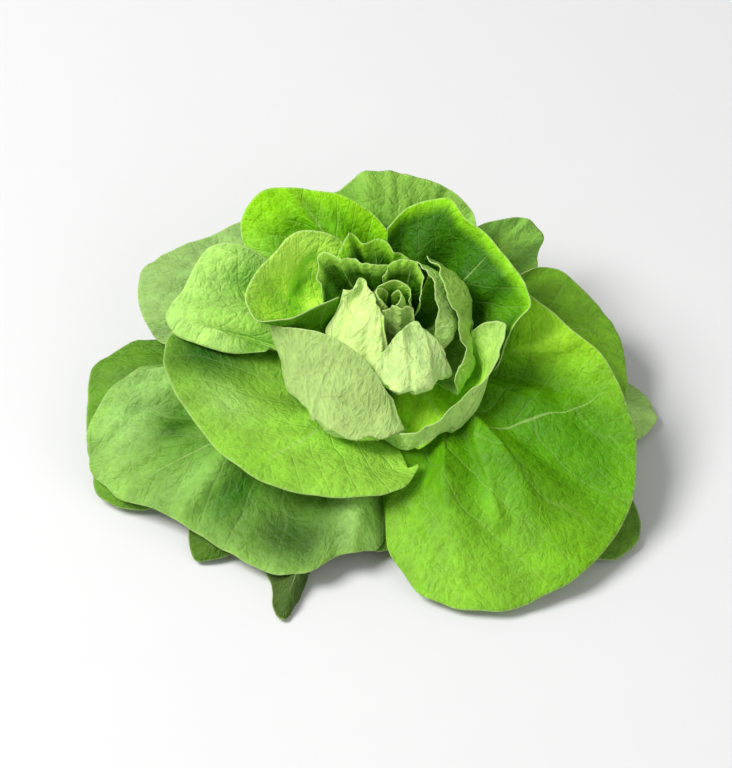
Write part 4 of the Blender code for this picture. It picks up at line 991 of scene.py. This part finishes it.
def drawn_out(field, shape):
    """A field over a coarse grid, read along smooth lines on a finer one of this shape."""
    for axis in (0, 1):
        count = field.shape[axis] - 1
        at = np.linspace(0, count, shape[axis])
        low = np.minimum(at.astype(int), count - 1)
        t = at - low
        weights = ((2 * t * t - t - t**3) / 2, (3 * t**3 - 5 * t * t + 2) / 2, (4 * t * t + t - 3 * t**3) / 2,
                   (t**3 - t * t) / 2)
        size = [1] * field.ndim
        size[axis] = -1
        field = sum(np.take(field, np.clip(low + step - 1, 0, count), axis) * weight.reshape(size)
                    for step, weight in enumerate(weights))
    return field


def room_round(sheets):
    """How far, in mm, each point of each sheet may move down and up before it could meet the next leaf."""
    thin = [sheet[::ROOM_STEP, ::ROOM_STEP] for sheet in sheets]
    rooms = []
    for number, own in enumerate(thin):
        points, faces, count = [], [], 0
        for other in thin[:number] + thin[number + 1:]:
            points.append(other.reshape(-1, 3))
            faces.append(triangles_of(other.shape[0] - 1, other.shape[1] - 1) + count)
            count += len(points[-1])
        tree = BVHTree.FromPolygons(np.concatenate(points).tolist(), np.concatenate(faces).tolist())
        normal = normals_of(own)
        rooms.append([free_way(tree, own, way * normal, sheets[number].shape) for way in (-1, 1)])
    return rooms


def free_way(tree, spots, ways, shape):
    """Half of the free way in mm from each spot, the least of its neighbours', drawn out to a finer grid."""
    free = np.full(spots.shape[:2], MOST_ROOM)
    for i, j in np.ndindex(*free.shape):
        distance = tree.ray_cast(Vector(spots[i, j]), Vector(ways[i, j]), MOST_ROOM * 2)[3]
        if distance is not None:
            free[i, j] = max(distance * SURE_SHARE - LEAST_ROOM, 0) / 2
    wide = np.pad(free, 1, mode="edge")
    rows, columns = free.shape
    free = np.min([wide[a:a + rows, b:b + columns] for a in range(3) for b in range(3)], axis=0)
    return np.maximum(drawn_out(free, shape), 0)


BLADES = {}


def blade_of(name):
    """The finished blade of the leaf with this name; all of them are nested once."""
    if not BLADES:
        sheets = nested()
        for order, (leaf, sheet, room) in enumerate(zip(LEAVES, sheets, room_round(sheets))):
            BLADES[leaf.name] = Blade(leaf, order, sheet, room)
    return BLADES[name]


def grid_faces(across, along):
    """Quads of a grid, one after another along and across, facing up."""
    i, j = np.meshgrid(np.arange(across), np.arange(along), indexing="ij")
    corner = (i * (along + 1) + j).ravel()
    return np.stack([corner, corner + 1, corner + along + 2, corner + along + 1], axis=1)


def border_of(across, along):
    """The grid's border points in turn, from the foot's far end back to where it starts."""
    grid = np.arange((across + 1) * (along + 1)).reshape(across + 1, along + 1)
    return np.concatenate([grid[0, :-1], grid[:-1, -1], grid[-1, :0:-1], grid[:0:-1, 0]])


def mesh_of(name, points, faces, edges=()):
    """A mesh from points in mm and faces of indices."""
    mesh = bpy.data.meshes.new(name)
    mesh.from_pydata((points * MM).tolist(), [tuple(e) for e in edges], [tuple(f) for f in faces])
    mesh.update()
    return mesh


def add_values(mesh, name, values):
    """A number for each point of a mesh."""
    mesh.attributes.new(name, "FLOAT", "POINT").data.foreach_set("value", values.astype(np.float32).ravel())


def add_map(mesh, name, u, v):
    """A UV map from each point's place on it."""
    corner = np.empty(len(mesh.loops), np.int32)
    mesh.loops.foreach_get("vertex_index", corner)
    place = np.stack([u.ravel()[corner], v.ravel()[corner]], axis=1)
    mesh.uv_layers.new(name=name).data.foreach_set("uv", place.astype(np.float32).ravel())


def blade_mesh(blade, thickness, midrib_height, midrib_width):
    """The blade as one closed shell: upper face, underside with its raised midrib, and rim."""
    across, along = blade.sheet.shape[0] - 1, blade.sheet.shape[1] - 1
    width = midrib_width * (MIDRIB_TIP + (1 - MIDRIB_TIP) * (1 - blade.share) ** MIDRIB_NARROWING)
    raised = midrib_height * np.exp(-(blade.beside / width) ** 2) * (1 - blade.share) ** MIDRIB_LOWERING
    thick = (thickness + raised * eased(0.0, MIDRIB_START, blade.share))[..., None]
    upper = blade.sheet + blade.normal * thickness / 2
    under = upper - blade.normal * thick
    under[..., 2] = np.maximum(under[..., 2], TABLE_GAP - thickness)
    count = (across + 1) * (along + 1)
    top = grid_faces(across, along)
    ring = border_of(across, along)
    after = np.roll(ring, -1)
    wall = np.stack([ring, ring + count, after + count, after], axis=1)
    points = np.concatenate([upper.reshape(-1, 3), under.reshape(-1, 3)])
    mesh = mesh_of(blade.leaf.name, points, np.concatenate([top, top[:, ::-1] + count, wall]))
    where = np.repeat([0, 1, 2], [len(top), len(top), len(wall)])
    mesh.polygons.foreach_set("material_index", where.astype(np.int32))
    mesh.polygons.foreach_set("use_smooth", np.ones(len(where), bool))

    def both(values):
        return np.concatenate([values.ravel(), values.ravel()])

    add_map(mesh, "laid_flat", both(blade.x) / FLAT_STEP, both(blade.y) / FLAT_STEP)
    add_map(mesh, "vein_chart", both(blade.beside) / CHART_STEP, both(blade.lateral))
    add_values(mesh, "share", both(blade.share))
    add_values(mesh, "rim_mm", both(blade.rim))
    paint = np.concatenate([blade.colour().reshape(-1, 3), blade.under_colour().reshape(-1, 3)])
    paint = np.concatenate([paint, np.ones((2 * count, 1))], axis=1)
    layer = mesh.attributes.new("leaf_colour", "FLOAT_COLOR", "POINT")
    layer.data.foreach_set("color", paint.astype(np.float32).ravel())
    return mesh


def lateral_lines(blade, thickness, radius):
    """The side veins' lines under the blade, from the midrib out: (points, tapers) for each."""
    lines = []
    columns = range(len(blade.sheet))
    for way in (-1, 1):
        for number in range(-2, blade.surface.laterals + 3):
            line, ways, shares = [], [], []
            for i in columns[::way]:
                value = np.where(blade.beside[i] * way > 0, blade.lateral[i] - (number + 0.5), np.nan)
                hit = np.nonzero((value[:-1] < 0) & (value[1:] >= 0))[0]
                if not len(hit) or (shares and abs(hit[0] / len(value) - shares[-1]) > MOST_JUMP):
                    if line:
                        break
                    continue
                j = hit[0]
                part = value[j] / (value[j] - value[j + 1])
                line.append(blade.sheet[i, j] * (1 - part) + blade.sheet[i, j + 1] * part)
                ways.append(blade.normal[i, j])
                shares.append(j / len(value))
            keep = [n for n, share in enumerate(shares) if FIRST_SHARE < share < LAST_SHARE]
            if len(keep) >= FEWEST_POINTS:
                tapers = TIP_WIDTH + (1 - TIP_WIDTH) * (1 - np.linspace(0, 1, len(keep))) ** TAPER
                depth = np.maximum(radius * tapers, thickness / 2 - radius * tapers * SUNK_SHARE)
                lines.append((np.array(line)[keep] - np.array(ways)[keep] * depth[:, None], tapers))
    return lines


class Graph:
    """Adds nodes to one tree."""

    def __init__(self, tree):
        self.tree = tree

    def node(self, kind, settings=None, sockets=None):
        """A node of this kind, with its settings set first and then its sockets, by name or number."""
        made = self.tree.nodes.new(kind)
        for name, value in (settings or {}).items():
            setattr(made, name, value)
        for name, value in (sockets or {}).items():
            if isinstance(value, Number):
                value = value.socket
            if isinstance(value, bpy.types.NodeSocket):
                self.tree.links.new(value, made.inputs[name])
            else:
                made.inputs[name].default_value = value
        return made

    def number(self, kind, settings=None, sockets=None, output=0):
        """One output of a new node, ready for sums."""
        return Number(self, self.node(kind, settings, sockets).outputs[output])

    def mixed(self, share, first, second):
        """Two colours mixed by a share."""
        ends = {0: share, 6: first, 7: second}
        ends = {n: (*c, 1.0) if isinstance(c, tuple) and len(c) == 3 else c for n, c in ends.items()}
        return self.number("ShaderNodeMix", {"data_type": "RGBA"}, ends, 2)

    def value_of(self, name, output="Fac"):
        """What a mesh says of each place under this name: a number, or with output Color a colour."""
        return self.number("ShaderNodeAttribute", {"attribute_name": name}, None, output)

    def noise(self, place, scale, detail, dimensions="3D"):
        """A cloudy noise node over these places."""
        return self.node("ShaderNodeTexNoise", {"noise_dimensions": dimensions},
                         {"Vector": place, "Scale": scale, "Detail": detail})

    def clouds(self, *options):
        """Cloudy values from 0 to 1, with the options of noise."""
        return Number(self, self.noise(*options).outputs[0])

    def bumped(self, shader, strength, distance, height):
        """Raises the shader's surface by a height."""
        sockets = {"Strength": strength, "Distance": distance, "Height": height}
        self.tree.links.new(self.node("ShaderNodeBump", None, sockets).outputs[0], shader.inputs["Normal"])


class Number:
    """An output of a node that is added, multiplied and compared as a number is."""

    def __init__(self, graph, socket):
        self.graph, self.socket = graph, socket

    def sum(self, operation, first, second=0.0):
        return self.graph.number("ShaderNodeMath", {"operation": operation}, {0: first, 1: second})

    def __add__(self, other):
        return self.sum("ADD", self, other)

    def __sub__(self, other):
        return self.sum("SUBTRACT", self, other)

    def __rsub__(self, other):
        return self.sum("SUBTRACT", other, self)

    def __mul__(self, other):
        return self.sum("MULTIPLY", self, other)

    def __truediv__(self, other):
        return self.sum("DIVIDE", self, other)

    def __pow__(self, other):
        return self.sum("POWER", self, other)

    def __abs__(self):
        return self.sum("ABSOLUTE", self)

    def __mod__(self, other):
        return self.sum("FLOORED_MODULO", self, other)

    def most(self, other):
        return self.sum("MAXIMUM", self, other)

    def fall(self, low, high):
        """1 below low, 0 above high, and a smooth step between."""
        ends = {"Value": self, "From Min": low, "From Max": high, "To Min": 1.0, "To Max": 0.0}
        return self.graph.number("ShaderNodeMapRange", {"interpolation_type": "SMOOTHSTEP"}, ends)


def new_material(name):
    """A material with a Principled shader, and the graph to add to."""
    made = bpy.data.materials.new(name)
    made.use_nodes = True
    return made, Graph(made.node_tree), made.node_tree.nodes["Principled BSDF"]


def set_flesh(shader, roughness, depth):
    """What is the same all over a leaf or stem: its gloss, and how far light soaks in."""
    shader.inputs["Roughness"].default_value = roughness
    shader.inputs["IOR"].default_value = FLESH_IOR
    shader.inputs["Specular IOR Level"].default_value = FLESH_SHINE
    shader.inputs["Subsurface Weight"].default_value = SOAK_SHARE
    shader.inputs["Subsurface Radius"].default_value = SOAK_RADIUS
    shader.inputs["Subsurface Scale"].default_value = depth


def vein_masks(graph, flat):
    """How much of the midrib, the side veins, the net and its finer mesh is at each place on a blade."""
    chart = graph.node("ShaderNodeUVMap", {"uv_map": "vein_chart"}).outputs[0]
    chart = graph.node("ShaderNodeSeparateXYZ", None, {0: chart})
    share = graph.value_of("share")
    drift = graph.noise(flat, WANDER_SCALE, 2.0, "2D").outputs["Color"]
    away = graph.node("ShaderNodeVectorMath", {"operation": "MULTIPLY_ADD"},
                      {0: drift, 1: WANDER_WAY, 2: flat}).outputs[0]
    cells = {"feature": "DISTANCE_TO_EDGE", "voronoi_dimensions": "2D"}
    net, mesh = (graph.number("ShaderNodeTexVoronoi", cells, {"Vector": away, "Scale": scale})
                 for scale in (NET_SCALE, MESH_SCALE))
    from_midrib = abs(Number(graph, chart.outputs[0])) * CHART_STEP
    width = (1 - share) ** 1.3 * PAINTED_WIDTH + PAINTED_LEAST
    midrib = (from_midrib / width).fall(*MIDRIB_EDGE) * share.fall(*MIDRIB_END)
    lateral = abs(Number(graph, chart.outputs[1]) % 1.0 - 0.5)
    lateral = lateral.fall(*LATERAL_EDGE) * (1 - share * LATERAL_LOSS)
    return midrib, lateral, net, mesh


def blade_material(name, face, vein_colour, depth):
    """A leaf's face: its own colour, pale veins in a net, blistered between them, satin."""
    made, graph, shader = new_material(name)
    flat = graph.node("ShaderNodeUVMap", {"uv_map": "laid_flat"}).outputs[0]
    midrib, lateral, net, mesh = vein_masks(graph, flat)
    speck = graph.clouds(flat, SPECK_SCALE, 3.0, "2D")
    cloud = graph.clouds(flat, CLOUD_SCALE, 2.0, "2D")
    shade = (cloud - 0.5) * CLOUD_SHADE + (speck - 0.5) * SPECK_SHADE
    shade = shade + net.fall(*NET_PAINT) * face.net + SHADE_LEVEL
    own = graph.value_of("leaf_colour", "Color")
    own = graph.number("ShaderNodeVectorMath", {"operation": "SCALE"}, {0: own, "Scale": shade})
    veins = (midrib * face.midrib).most(lateral * face.lateral)
    rim = graph.value_of("rim_mm").fall(*RIM_EDGE)
    own = graph.mixed(veins.most(rim * RIM_SHARE), own, vein_colour)
    graph.tree.links.new(own.socket, shader.inputs["Base Color"])
    height = net.fall(*NET_EDGE) * NET_HEIGHT + mesh.fall(*MESH_EDGE) * MESH_HEIGHT + lateral * face.raised
    height = (height + (speck - 0.5) * SPECK_HEIGHT) * face.relief
    graph.bumped(shader, *BLADE_BUMP, height)
    set_flesh(shader, BLADE_ROUGHNESS, depth)
    rough = (cloud - 0.5) * CLOUD_ROUGHNESS + (BLADE_ROUGHNESS + face.rougher)
    graph.tree.links.new(rough.socket, shader.inputs["Roughness"])
    return made


def rib_material(name, colour, depth):
    """Pale, juicy flesh of veins and rims, faintly mottled and grained."""
    made, graph, shader = new_material(name)
    place = graph.node("ShaderNodeTexCoord").outputs["Object"]
    grain = graph.clouds(place, RIB_GRAIN, 2.0)
    cloud = graph.clouds(place, RIB_CLOUDS, 2.0)
    paint = graph.mixed(cloud, colour, tuple(RIB_SHADE * c for c in colour))
    graph.tree.links.new(paint.socket, shader.inputs["Base Color"])
    graph.bumped(shader, *RIB_BUMP, grain)
    set_flesh(shader, RIB_ROUGHNESS, depth)
    return made


def raised_vein_tree(material):
    """Geometry nodes that turn tapering lines into veins: inputs for their widest radius and their sides."""
    tree = bpy.data.node_groups.new("raised veins", "GeometryNodeTree")
    tree.interface.new_socket("Lines", in_out="INPUT", socket_type="NodeSocketGeometry")
    tree.interface.new_socket("Radius", in_out="INPUT", socket_type="NodeSocketFloat")
    tree.interface.new_socket("Sides", in_out="INPUT", socket_type="NodeSocketInt")
    tree.interface.new_socket("Veins", in_out="OUTPUT", socket_type="NodeSocketGeometry")
    graph = Graph(tree)
    given = graph.node("NodeGroupInput")
    taper = graph.node("GeometryNodeInputNamedAttribute", {"data_type": "FLOAT"}, {"Name": "taper"})
    thick = graph.node("ShaderNodeMath", {"operation": "MULTIPLY"},
                       {0: taper.outputs[0], 1: given.outputs["Radius"]})
    curve = graph.node("GeometryNodeMeshToCurve", None, {"Mesh": given.outputs["Lines"]})
    ring = graph.node("GeometryNodeCurvePrimitiveCircle", None,
                      {"Resolution": given.outputs["Sides"], "Radius": 1.0})
    tube = graph.node("GeometryNodeCurveToMesh", None,
                      {"Curve": curve.outputs[0], "Profile Curve": ring.outputs[0], "Scale": thick.outputs[0],
                       "Fill Caps": True})
    smooth = graph.node("GeometryNodeSetShadeSmooth", None, {"Geometry": tube.outputs[0]})
    real = graph.node("GeometryNodeRealizeInstances", None, {"Geometry": smooth.outputs[0]})
    finish = graph.node("GeometryNodeSetMaterial", None, {"Geometry": real.outputs[0], "Material": material})
    graph.node("NodeGroupOutput", None, {"Veins": finish.outputs[0]})
    return tree


def vein_mesh(blade, thickness, radius, sides, material):
    """The raised side veins under a blade, as one plain mesh made by the geometry nodes."""
    lines = lateral_lines(blade, thickness, radius)
    if not lines:
        return None
    points, tapers = (np.concatenate(parts) for parts in zip(*lines))
    starts = set(np.cumsum([len(line) for line, _ in lines]).tolist())
    edges = [(n, n + 1) for n in range(len(points) - 1) if n + 1 not in starts]
    holder = bpy.data.objects.new("vein_lines", mesh_of("vein_lines", points, [], edges))
    add_values(holder.data, "taper", tapers)
    bpy.context.scene.collection.objects.link(holder)
    tree = raised_vein_tree(material)
    grown = holder.modifiers.new("raised veins", "NODES")
    grown.node_group = tree
    inputs = {item.name: item.identifier for item in tree.interface.items_tree if item.in_out == "INPUT"}
    grown[inputs["Radius"]] = radius * MM
    grown[inputs["Sides"]] = sides
    mesh = bpy.data.meshes.new_from_object(holder.evaluated_get(bpy.context.evaluated_depsgraph_get()))
    bpy.data.objects.remove(holder, do_unlink=True)
    bpy.data.node_groups.remove(tree)
    return mesh


def put(mesh, name, node):
    """A finished piece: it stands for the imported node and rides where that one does."""
    piece = bpy.data.objects.new(name, mesh)
    bpy.context.scene.collection.objects.link(piece)
    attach(piece, "root")
    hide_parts(node)
    return piece


def grow_leaves(slot, sizes):
    """All leaves of these sizes, each as one piece with its raised veins."""
    shape, paint = bpy.context.scene.lettuce_shape, bpy.context.scene.lettuce_colours
    vein = tuple(paint.vein)
    depth = shape.light_depth
    faces = [blade_material(slot + "_upper", UPPER, vein, depth),
             blade_material(slot + "_underside", UNDER, vein, depth),
             rib_material(slot + "_rim", tuple(paint.rim), depth)]
    rib = rib_material(slot + "_vein", vein, depth)
    thickness = shape.blade_thickness / MM
    for leaf in LEAVES:
        if leaf.size not in sizes:
            continue
        blade = blade_of(leaf.name)
        mesh = blade_mesh(blade, thickness, shape.midrib_height / MM, shape.midrib_width / MM)
        for finish in faces:
            mesh.materials.append(finish)
        put(mesh, leaf.name + "_blade", leaf.name)
        radius = shape.vein_radius / MM * VEIN_SHARE[leaf.size]
        veins = vein_mesh(blade, thickness, radius, shape.vein_sides, rib)
        if veins is not None and len(veins.polygons):
            put(veins, leaf.name + "_veins", leaf.name)


def stem_material(flesh, cut):
    """Pale mottled stem flesh, and on its cut face a ring of vessels and a browned edge."""
    made, graph, shader = new_material("stem_flesh")
    place = graph.node("ShaderNodeTexCoord").outputs["Object"]
    parts = graph.node("ShaderNodeSeparateXYZ", None, {0: place})
    x, y, z = (Number(graph, parts.outputs[n]) / MM for n in range(3))
    away = (x * x + y * y) ** 0.5
    grain = graph.clouds(place, STEM_GRAIN, 3.0)
    cloud = graph.clouds(place, STEM_CLOUDS, 3.0)
    uneven = away + (cloud - 0.5) * CUT_WOBBLE
    ring = abs(uneven - RING_RADIUS).fall(*RING_EDGE)
    edge = 1 - uneven.fall(*BROWNED_EDGE)
    face = z.fall(*CUT_EDGE)
    browned = tuple(c * k for c, k in zip(cut, BROWNED))
    on_cut = graph.mixed(ring * RING_SHARE, cut, browned)
    on_cut = graph.mixed(edge * BROWNED_SHARE, on_cut, browned)
    on_side = graph.mixed(cloud, flesh, tuple(c * STEM_SHADE for c in flesh))
    paint = graph.mixed(face, on_side, on_cut)
    graph.tree.links.new(paint.socket, shader.inputs["Base Color"])
    graph.bumped(shader, *STEM_BUMP, grain + ring * face * RING_HEIGHT)
    set_flesh(shader, STEM_ROUGHNESS, STEM_LIGHT_DEPTH)
    return made


def stem_mesh(sides):
    """The stem: a cut foot, leaf scars round its straight part, and a cone that the leaves hide."""
    heights = np.concatenate([np.linspace(FOOT_BEVEL, STEM_STRAIGHT, STRAIGHT_ROWS),
                              np.linspace(STEM_STRAIGHT, STEM_HEIGHT, CONE_ROWS)[1:]])
    outline = [(r, 0.0) for r in np.linspace(FIRST_RADIUS, STEM_FOOT_RADIUS - FOOT_BEVEL, CUT_ROWS)]
    outline += [(STEM_FOOT_RADIUS - FOOT_BEVEL * 0.35, FOOT_BEVEL * 0.35)]
    outline += [(float(stem_radius(z)), float(z)) for z in heights]
    outline += [(STEM_TIP_RADIUS * 0.6, STEM_HEIGHT + STEM_TIP_RADIUS * 0.3)]
    radius, height = np.array(outline).T
    turn = np.linspace(0, 2 * math.pi, sides, endpoint=False)
    height = height[:, None]
    scars = np.sin(height * SCAR_PACE + 2.5 * np.sin(2 * turn) + 1.5 * np.sin(3 * turn + 1))
    band = eased(*SCAR_START, height) * (1 - eased(*SCAR_END, height))
    lumps = SCAR_DEPTH * scars * band + LUMP_DEPTH * np.sin(5 * turn + 0.4) * eased(0, LUMP_START, height)
    radius = radius[:, None] + lumps
    points = np.stack([radius * np.cos(turn), radius * np.sin(turn), height * np.ones(sides)], axis=2)
    points = np.concatenate([points.reshape(-1, 3), [[0, 0, 0], [0, 0, STEM_HEIGHT + STEM_TIP_RADIUS * 0.5]]])
    count = len(outline)
    i, k = np.meshgrid(np.arange(count - 1), np.arange(sides), indexing="ij")
    corner, beside = (i * sides + k).ravel(), (i * sides + (k + 1) % sides).ravel()
    faces = [tuple(f) for f in np.stack([corner, beside, beside + sides, corner + sides], axis=1).tolist()]
    foot, tip = count * sides, count * sides + 1
    last = (count - 1) * sides
    faces += [(foot, (k + 1) % sides, k) for k in range(sides)]
    faces += [(tip, last + k, last + (k + 1) % sides) for k in range(sides)]
    mesh = mesh_of("stem_flesh", points, faces)
    mesh.polygons.foreach_set("use_smooth", np.ones(len(faces), bool))
    return mesh


class LettuceShape(bpy.types.PropertyGroup):
    """Sizes that all the leaves share."""
    blade_thickness: FloatProperty(name="Blade thickness", description="How thick a leaf's blade is",
                                   default=0.0005, unit="LENGTH")
    midrib_height: FloatProperty(name="Midrib height", default=0.0026, unit="LENGTH",
                                 description="How far a midrib stands out under its leaf")
    midrib_width: FloatProperty(name="Midrib width", default=0.0034, unit="LENGTH",
                                description="Half of a midrib's width at the leaf's foot")
    vein_radius: FloatProperty(name="Vein radius", default=0.0006, unit="LENGTH",
                               description="Radius of the widest side vein where it leaves the midrib")
    vein_sides: IntProperty(name="Vein sides", description="Sides of a side vein", default=4, min=3)
    light_depth: FloatProperty(name="Light depth", description="How deep light soaks into a leaf",
                               default=0.0012, unit="LENGTH")


class LettuceColours(bpy.types.PropertyGroup):
    """Colours that all the leaves share, and the stem's."""
    vein: FloatVectorProperty(name="Vein", description="Colour of the veins", subtype="COLOR",
                              default=(0.52, 0.70, 0.24))
    rim: FloatVectorProperty(name="Rim", description="Colour of the leaves' thin edges", subtype="COLOR",
                             default=(0.55, 0.76, 0.26))
    stem: FloatVectorProperty(name="Stem", description="Colour of the stem's side", subtype="COLOR",
                              default=(0.62, 0.70, 0.38))
    cut: FloatVectorProperty(name="Cut face", description="Colour of the stem's cut face", subtype="COLOR",
                             default=(0.78, 0.74, 0.52))


class LettuceStage(bpy.types.PropertyGroup):
    """The camera's place, the floor and the lights."""
    distance: FloatProperty(name="Camera distance", description="From the camera to the lettuce",
                            default=2.4, unit="LENGTH")
    elevation: FloatProperty(name="Camera elevation", description="The camera's angle above the floor",
                             default=math.radians(48), subtype="ANGLE")
    lens: FloatProperty(name="Lens", description="Focal length in millimetres", default=225.0)
    floor: FloatVectorProperty(name="Floor", description="Colour of the floor", subtype="COLOR",
                               default=(0.86, 0.86, 0.86))
    key: FloatProperty(name="Key light", description="Power of the key light", default=60.0, unit="POWER")
    fill: FloatProperty(name="Fill light", description="Power of the fill light", default=3.5, unit="POWER")
    sky: FloatProperty(name="Sky", description="Brightness of the light from all round", default=0.3)


class LETTUCE_OT_stem(bpy.types.Operator):
    """Makes the cut stem"""
    bl_idname = "lettuce.stem"
    bl_label = "Stem"

    def execute(self, context):
        colours = context.scene.lettuce_colours
        mesh = stem_mesh(STEM_SIDES)
        mesh.materials.append(stem_material(tuple(colours.stem), tuple(colours.cut)))
        put(mesh, "stem_flesh", "stem")
        return {"FINISHED"}


class LETTUCE_OT_low_leaves(bpy.types.Operator):
    """Makes the small outermost leaves that lie on the table"""
    bl_idname = "lettuce.low_leaves"
    bl_label = "Low leaves"

    def execute(self, context):
        grow_leaves("leaf_low", [LOW])
        return {"FINISHED"}


class LETTUCE_OT_wrapper_leaves(bpy.types.Operator):
    """Makes the wide wrapper leaves round the head"""
    bl_idname = "lettuce.wrapper_leaves"
    bl_label = "Wrapper leaves"

    def execute(self, context):
        grow_leaves("leaf_wrapper", [WRAPPER])
        return {"FINISHED"}


class LETTUCE_OT_head_leaves(bpy.types.Operator):
    """Makes the cupped leaves of the head"""
    bl_idname = "lettuce.head_leaves"
    bl_label = "Head leaves"

    def execute(self, context):
        grow_leaves("leaf_head", [HEAD])
        return {"FINISHED"}


class LETTUCE_OT_heart_leaves(bpy.types.Operator):
    """Makes the pale folded leaves of the heart"""
    bl_idname = "lettuce.heart_leaves"
    bl_label = "Heart leaves"

    def execute(self, context):
        grow_leaves("leaf_heart", [HEART, BUD])
        return {"FINISHED"}


class LETTUCE_OT_stage(bpy.types.Operator):
    """Makes the floor, the lights and the camera"""
    bl_idname = "lettuce.stage"
    bl_label = "Stage"

    def execute(self, context):
        stage = context.scene.lettuce_stage
        corners = FLOOR_HALF * np.array([(-1, -1, 0), (1, -1, 0), (1, 1, 0), (-1, 1, 0)])
        floor = bpy.data.objects.new("floor", mesh_of("floor", corners, [(0, 1, 2, 3)]))
        context.scene.collection.objects.link(floor)
        made, graph, shader = new_material("pale_floor")
        place = graph.node("ShaderNodeTexCoord").outputs["Object"]
        grain = graph.clouds(place, FLOOR_GRAIN, 2.0)
        paint = graph.mixed(grain, tuple(stage.floor), tuple(FLOOR_SHADE * c for c in stage.floor))
        graph.tree.links.new(paint.socket, shader.inputs["Base Color"])
        shader.inputs["Roughness"].default_value = FLOOR_ROUGHNESS
        floor.data.materials.append(made)
        for name, spot, size, power in (("key", KEY_SPOT, KEY_SIZE, stage.key),
                                        ("fill", FILL_SPOT, FILL_SIZE, stage.fill)):
            lamp = bpy.data.lights.new(name, "AREA")
            lamp.shape = "DISK"
            lamp.size = size
            lamp.energy = power
            held = bpy.data.objects.new(name, lamp)
            held.location = spot
            held.rotation_euler = (LOOK_AT - Vector(spot)).to_track_quat("-Z", "Y").to_euler()
            context.scene.collection.objects.link(held)
        context.scene.view_settings.view_transform = "Standard"
        world = bpy.data.worlds.new("sky")
        world.use_nodes = True
        context.scene.world = world
        world.node_tree.nodes["Background"].inputs[0].default_value = (1.0, 1.0, 1.0, 1.0)
        world.node_tree.nodes["Background"].inputs[1].default_value = stage.sky
        camera = bpy.data.objects.new("camera", bpy.data.cameras.new("camera"))
        camera.data.lens = stage.lens
        camera.data.sensor_width = SENSOR_WIDTH
        back = Vector((0.0, -math.cos(stage.elevation), math.sin(stage.elevation)))
        camera.location = LOOK_AT + back * stage.distance
        camera.rotation_euler = (-back).to_track_quat("-Z", "Y").to_euler()
        context.scene.collection.objects.link(camera)
        context.scene.camera = camera
        return {"FINISHED"}


class VIEW3D_PT_lettuce(bpy.types.Panel):
    """Lists the lettuce's pieces and their sizes and colours"""
    bl_label = "Butterhead lettuce"
    bl_space_type = "VIEW_3D"
    bl_region_type = "UI"
    bl_category = "Lettuce"

    def draw(self, context):
        scene = context.scene
        for group in (scene.lettuce_shape, scene.lettuce_colours, scene.lettuce_stage):
            box = self.layout.box()
            for name in group.__annotations__:
                box.prop(group, name)
        for operator in OPERATORS:
            self.layout.operator(operator.bl_idname)


OPERATORS = (LETTUCE_OT_stem, LETTUCE_OT_low_leaves, LETTUCE_OT_wrapper_leaves, LETTUCE_OT_head_leaves,
             LETTUCE_OT_heart_leaves, LETTUCE_OT_stage)
CLASSES = (LettuceShape, LettuceColours, LettuceStage, *OPERATORS, VIEW3D_PT_lettuce)


def register():
    for each in CLASSES:
        bpy.utils.register_class(each)
    bpy.types.Scene.lettuce_shape = PointerProperty(type=LettuceShape)
    bpy.types.Scene.lettuce_colours = PointerProperty(type=LettuceColours)
    bpy.types.Scene.lettuce_stage = PointerProperty(type=LettuceStage)


def unregister():
    del bpy.types.Scene.lettuce_stage
    del bpy.types.Scene.lettuce_colours
    del bpy.types.Scene.lettuce_shape
    for each in reversed(CLASSES):
        bpy.utils.unregister_class(each)


def main():
    register()
    bpy.ops.lettuce.stem()
    bpy.ops.lettuce.low_leaves()
    bpy.ops.lettuce.wrapper_leaves()
    bpy.ops.lettuce.head_leaves()
    bpy.ops.lettuce.heart_leaves()
    bpy.ops.lettuce.stage()


if __name__ == "__main__":
    main()
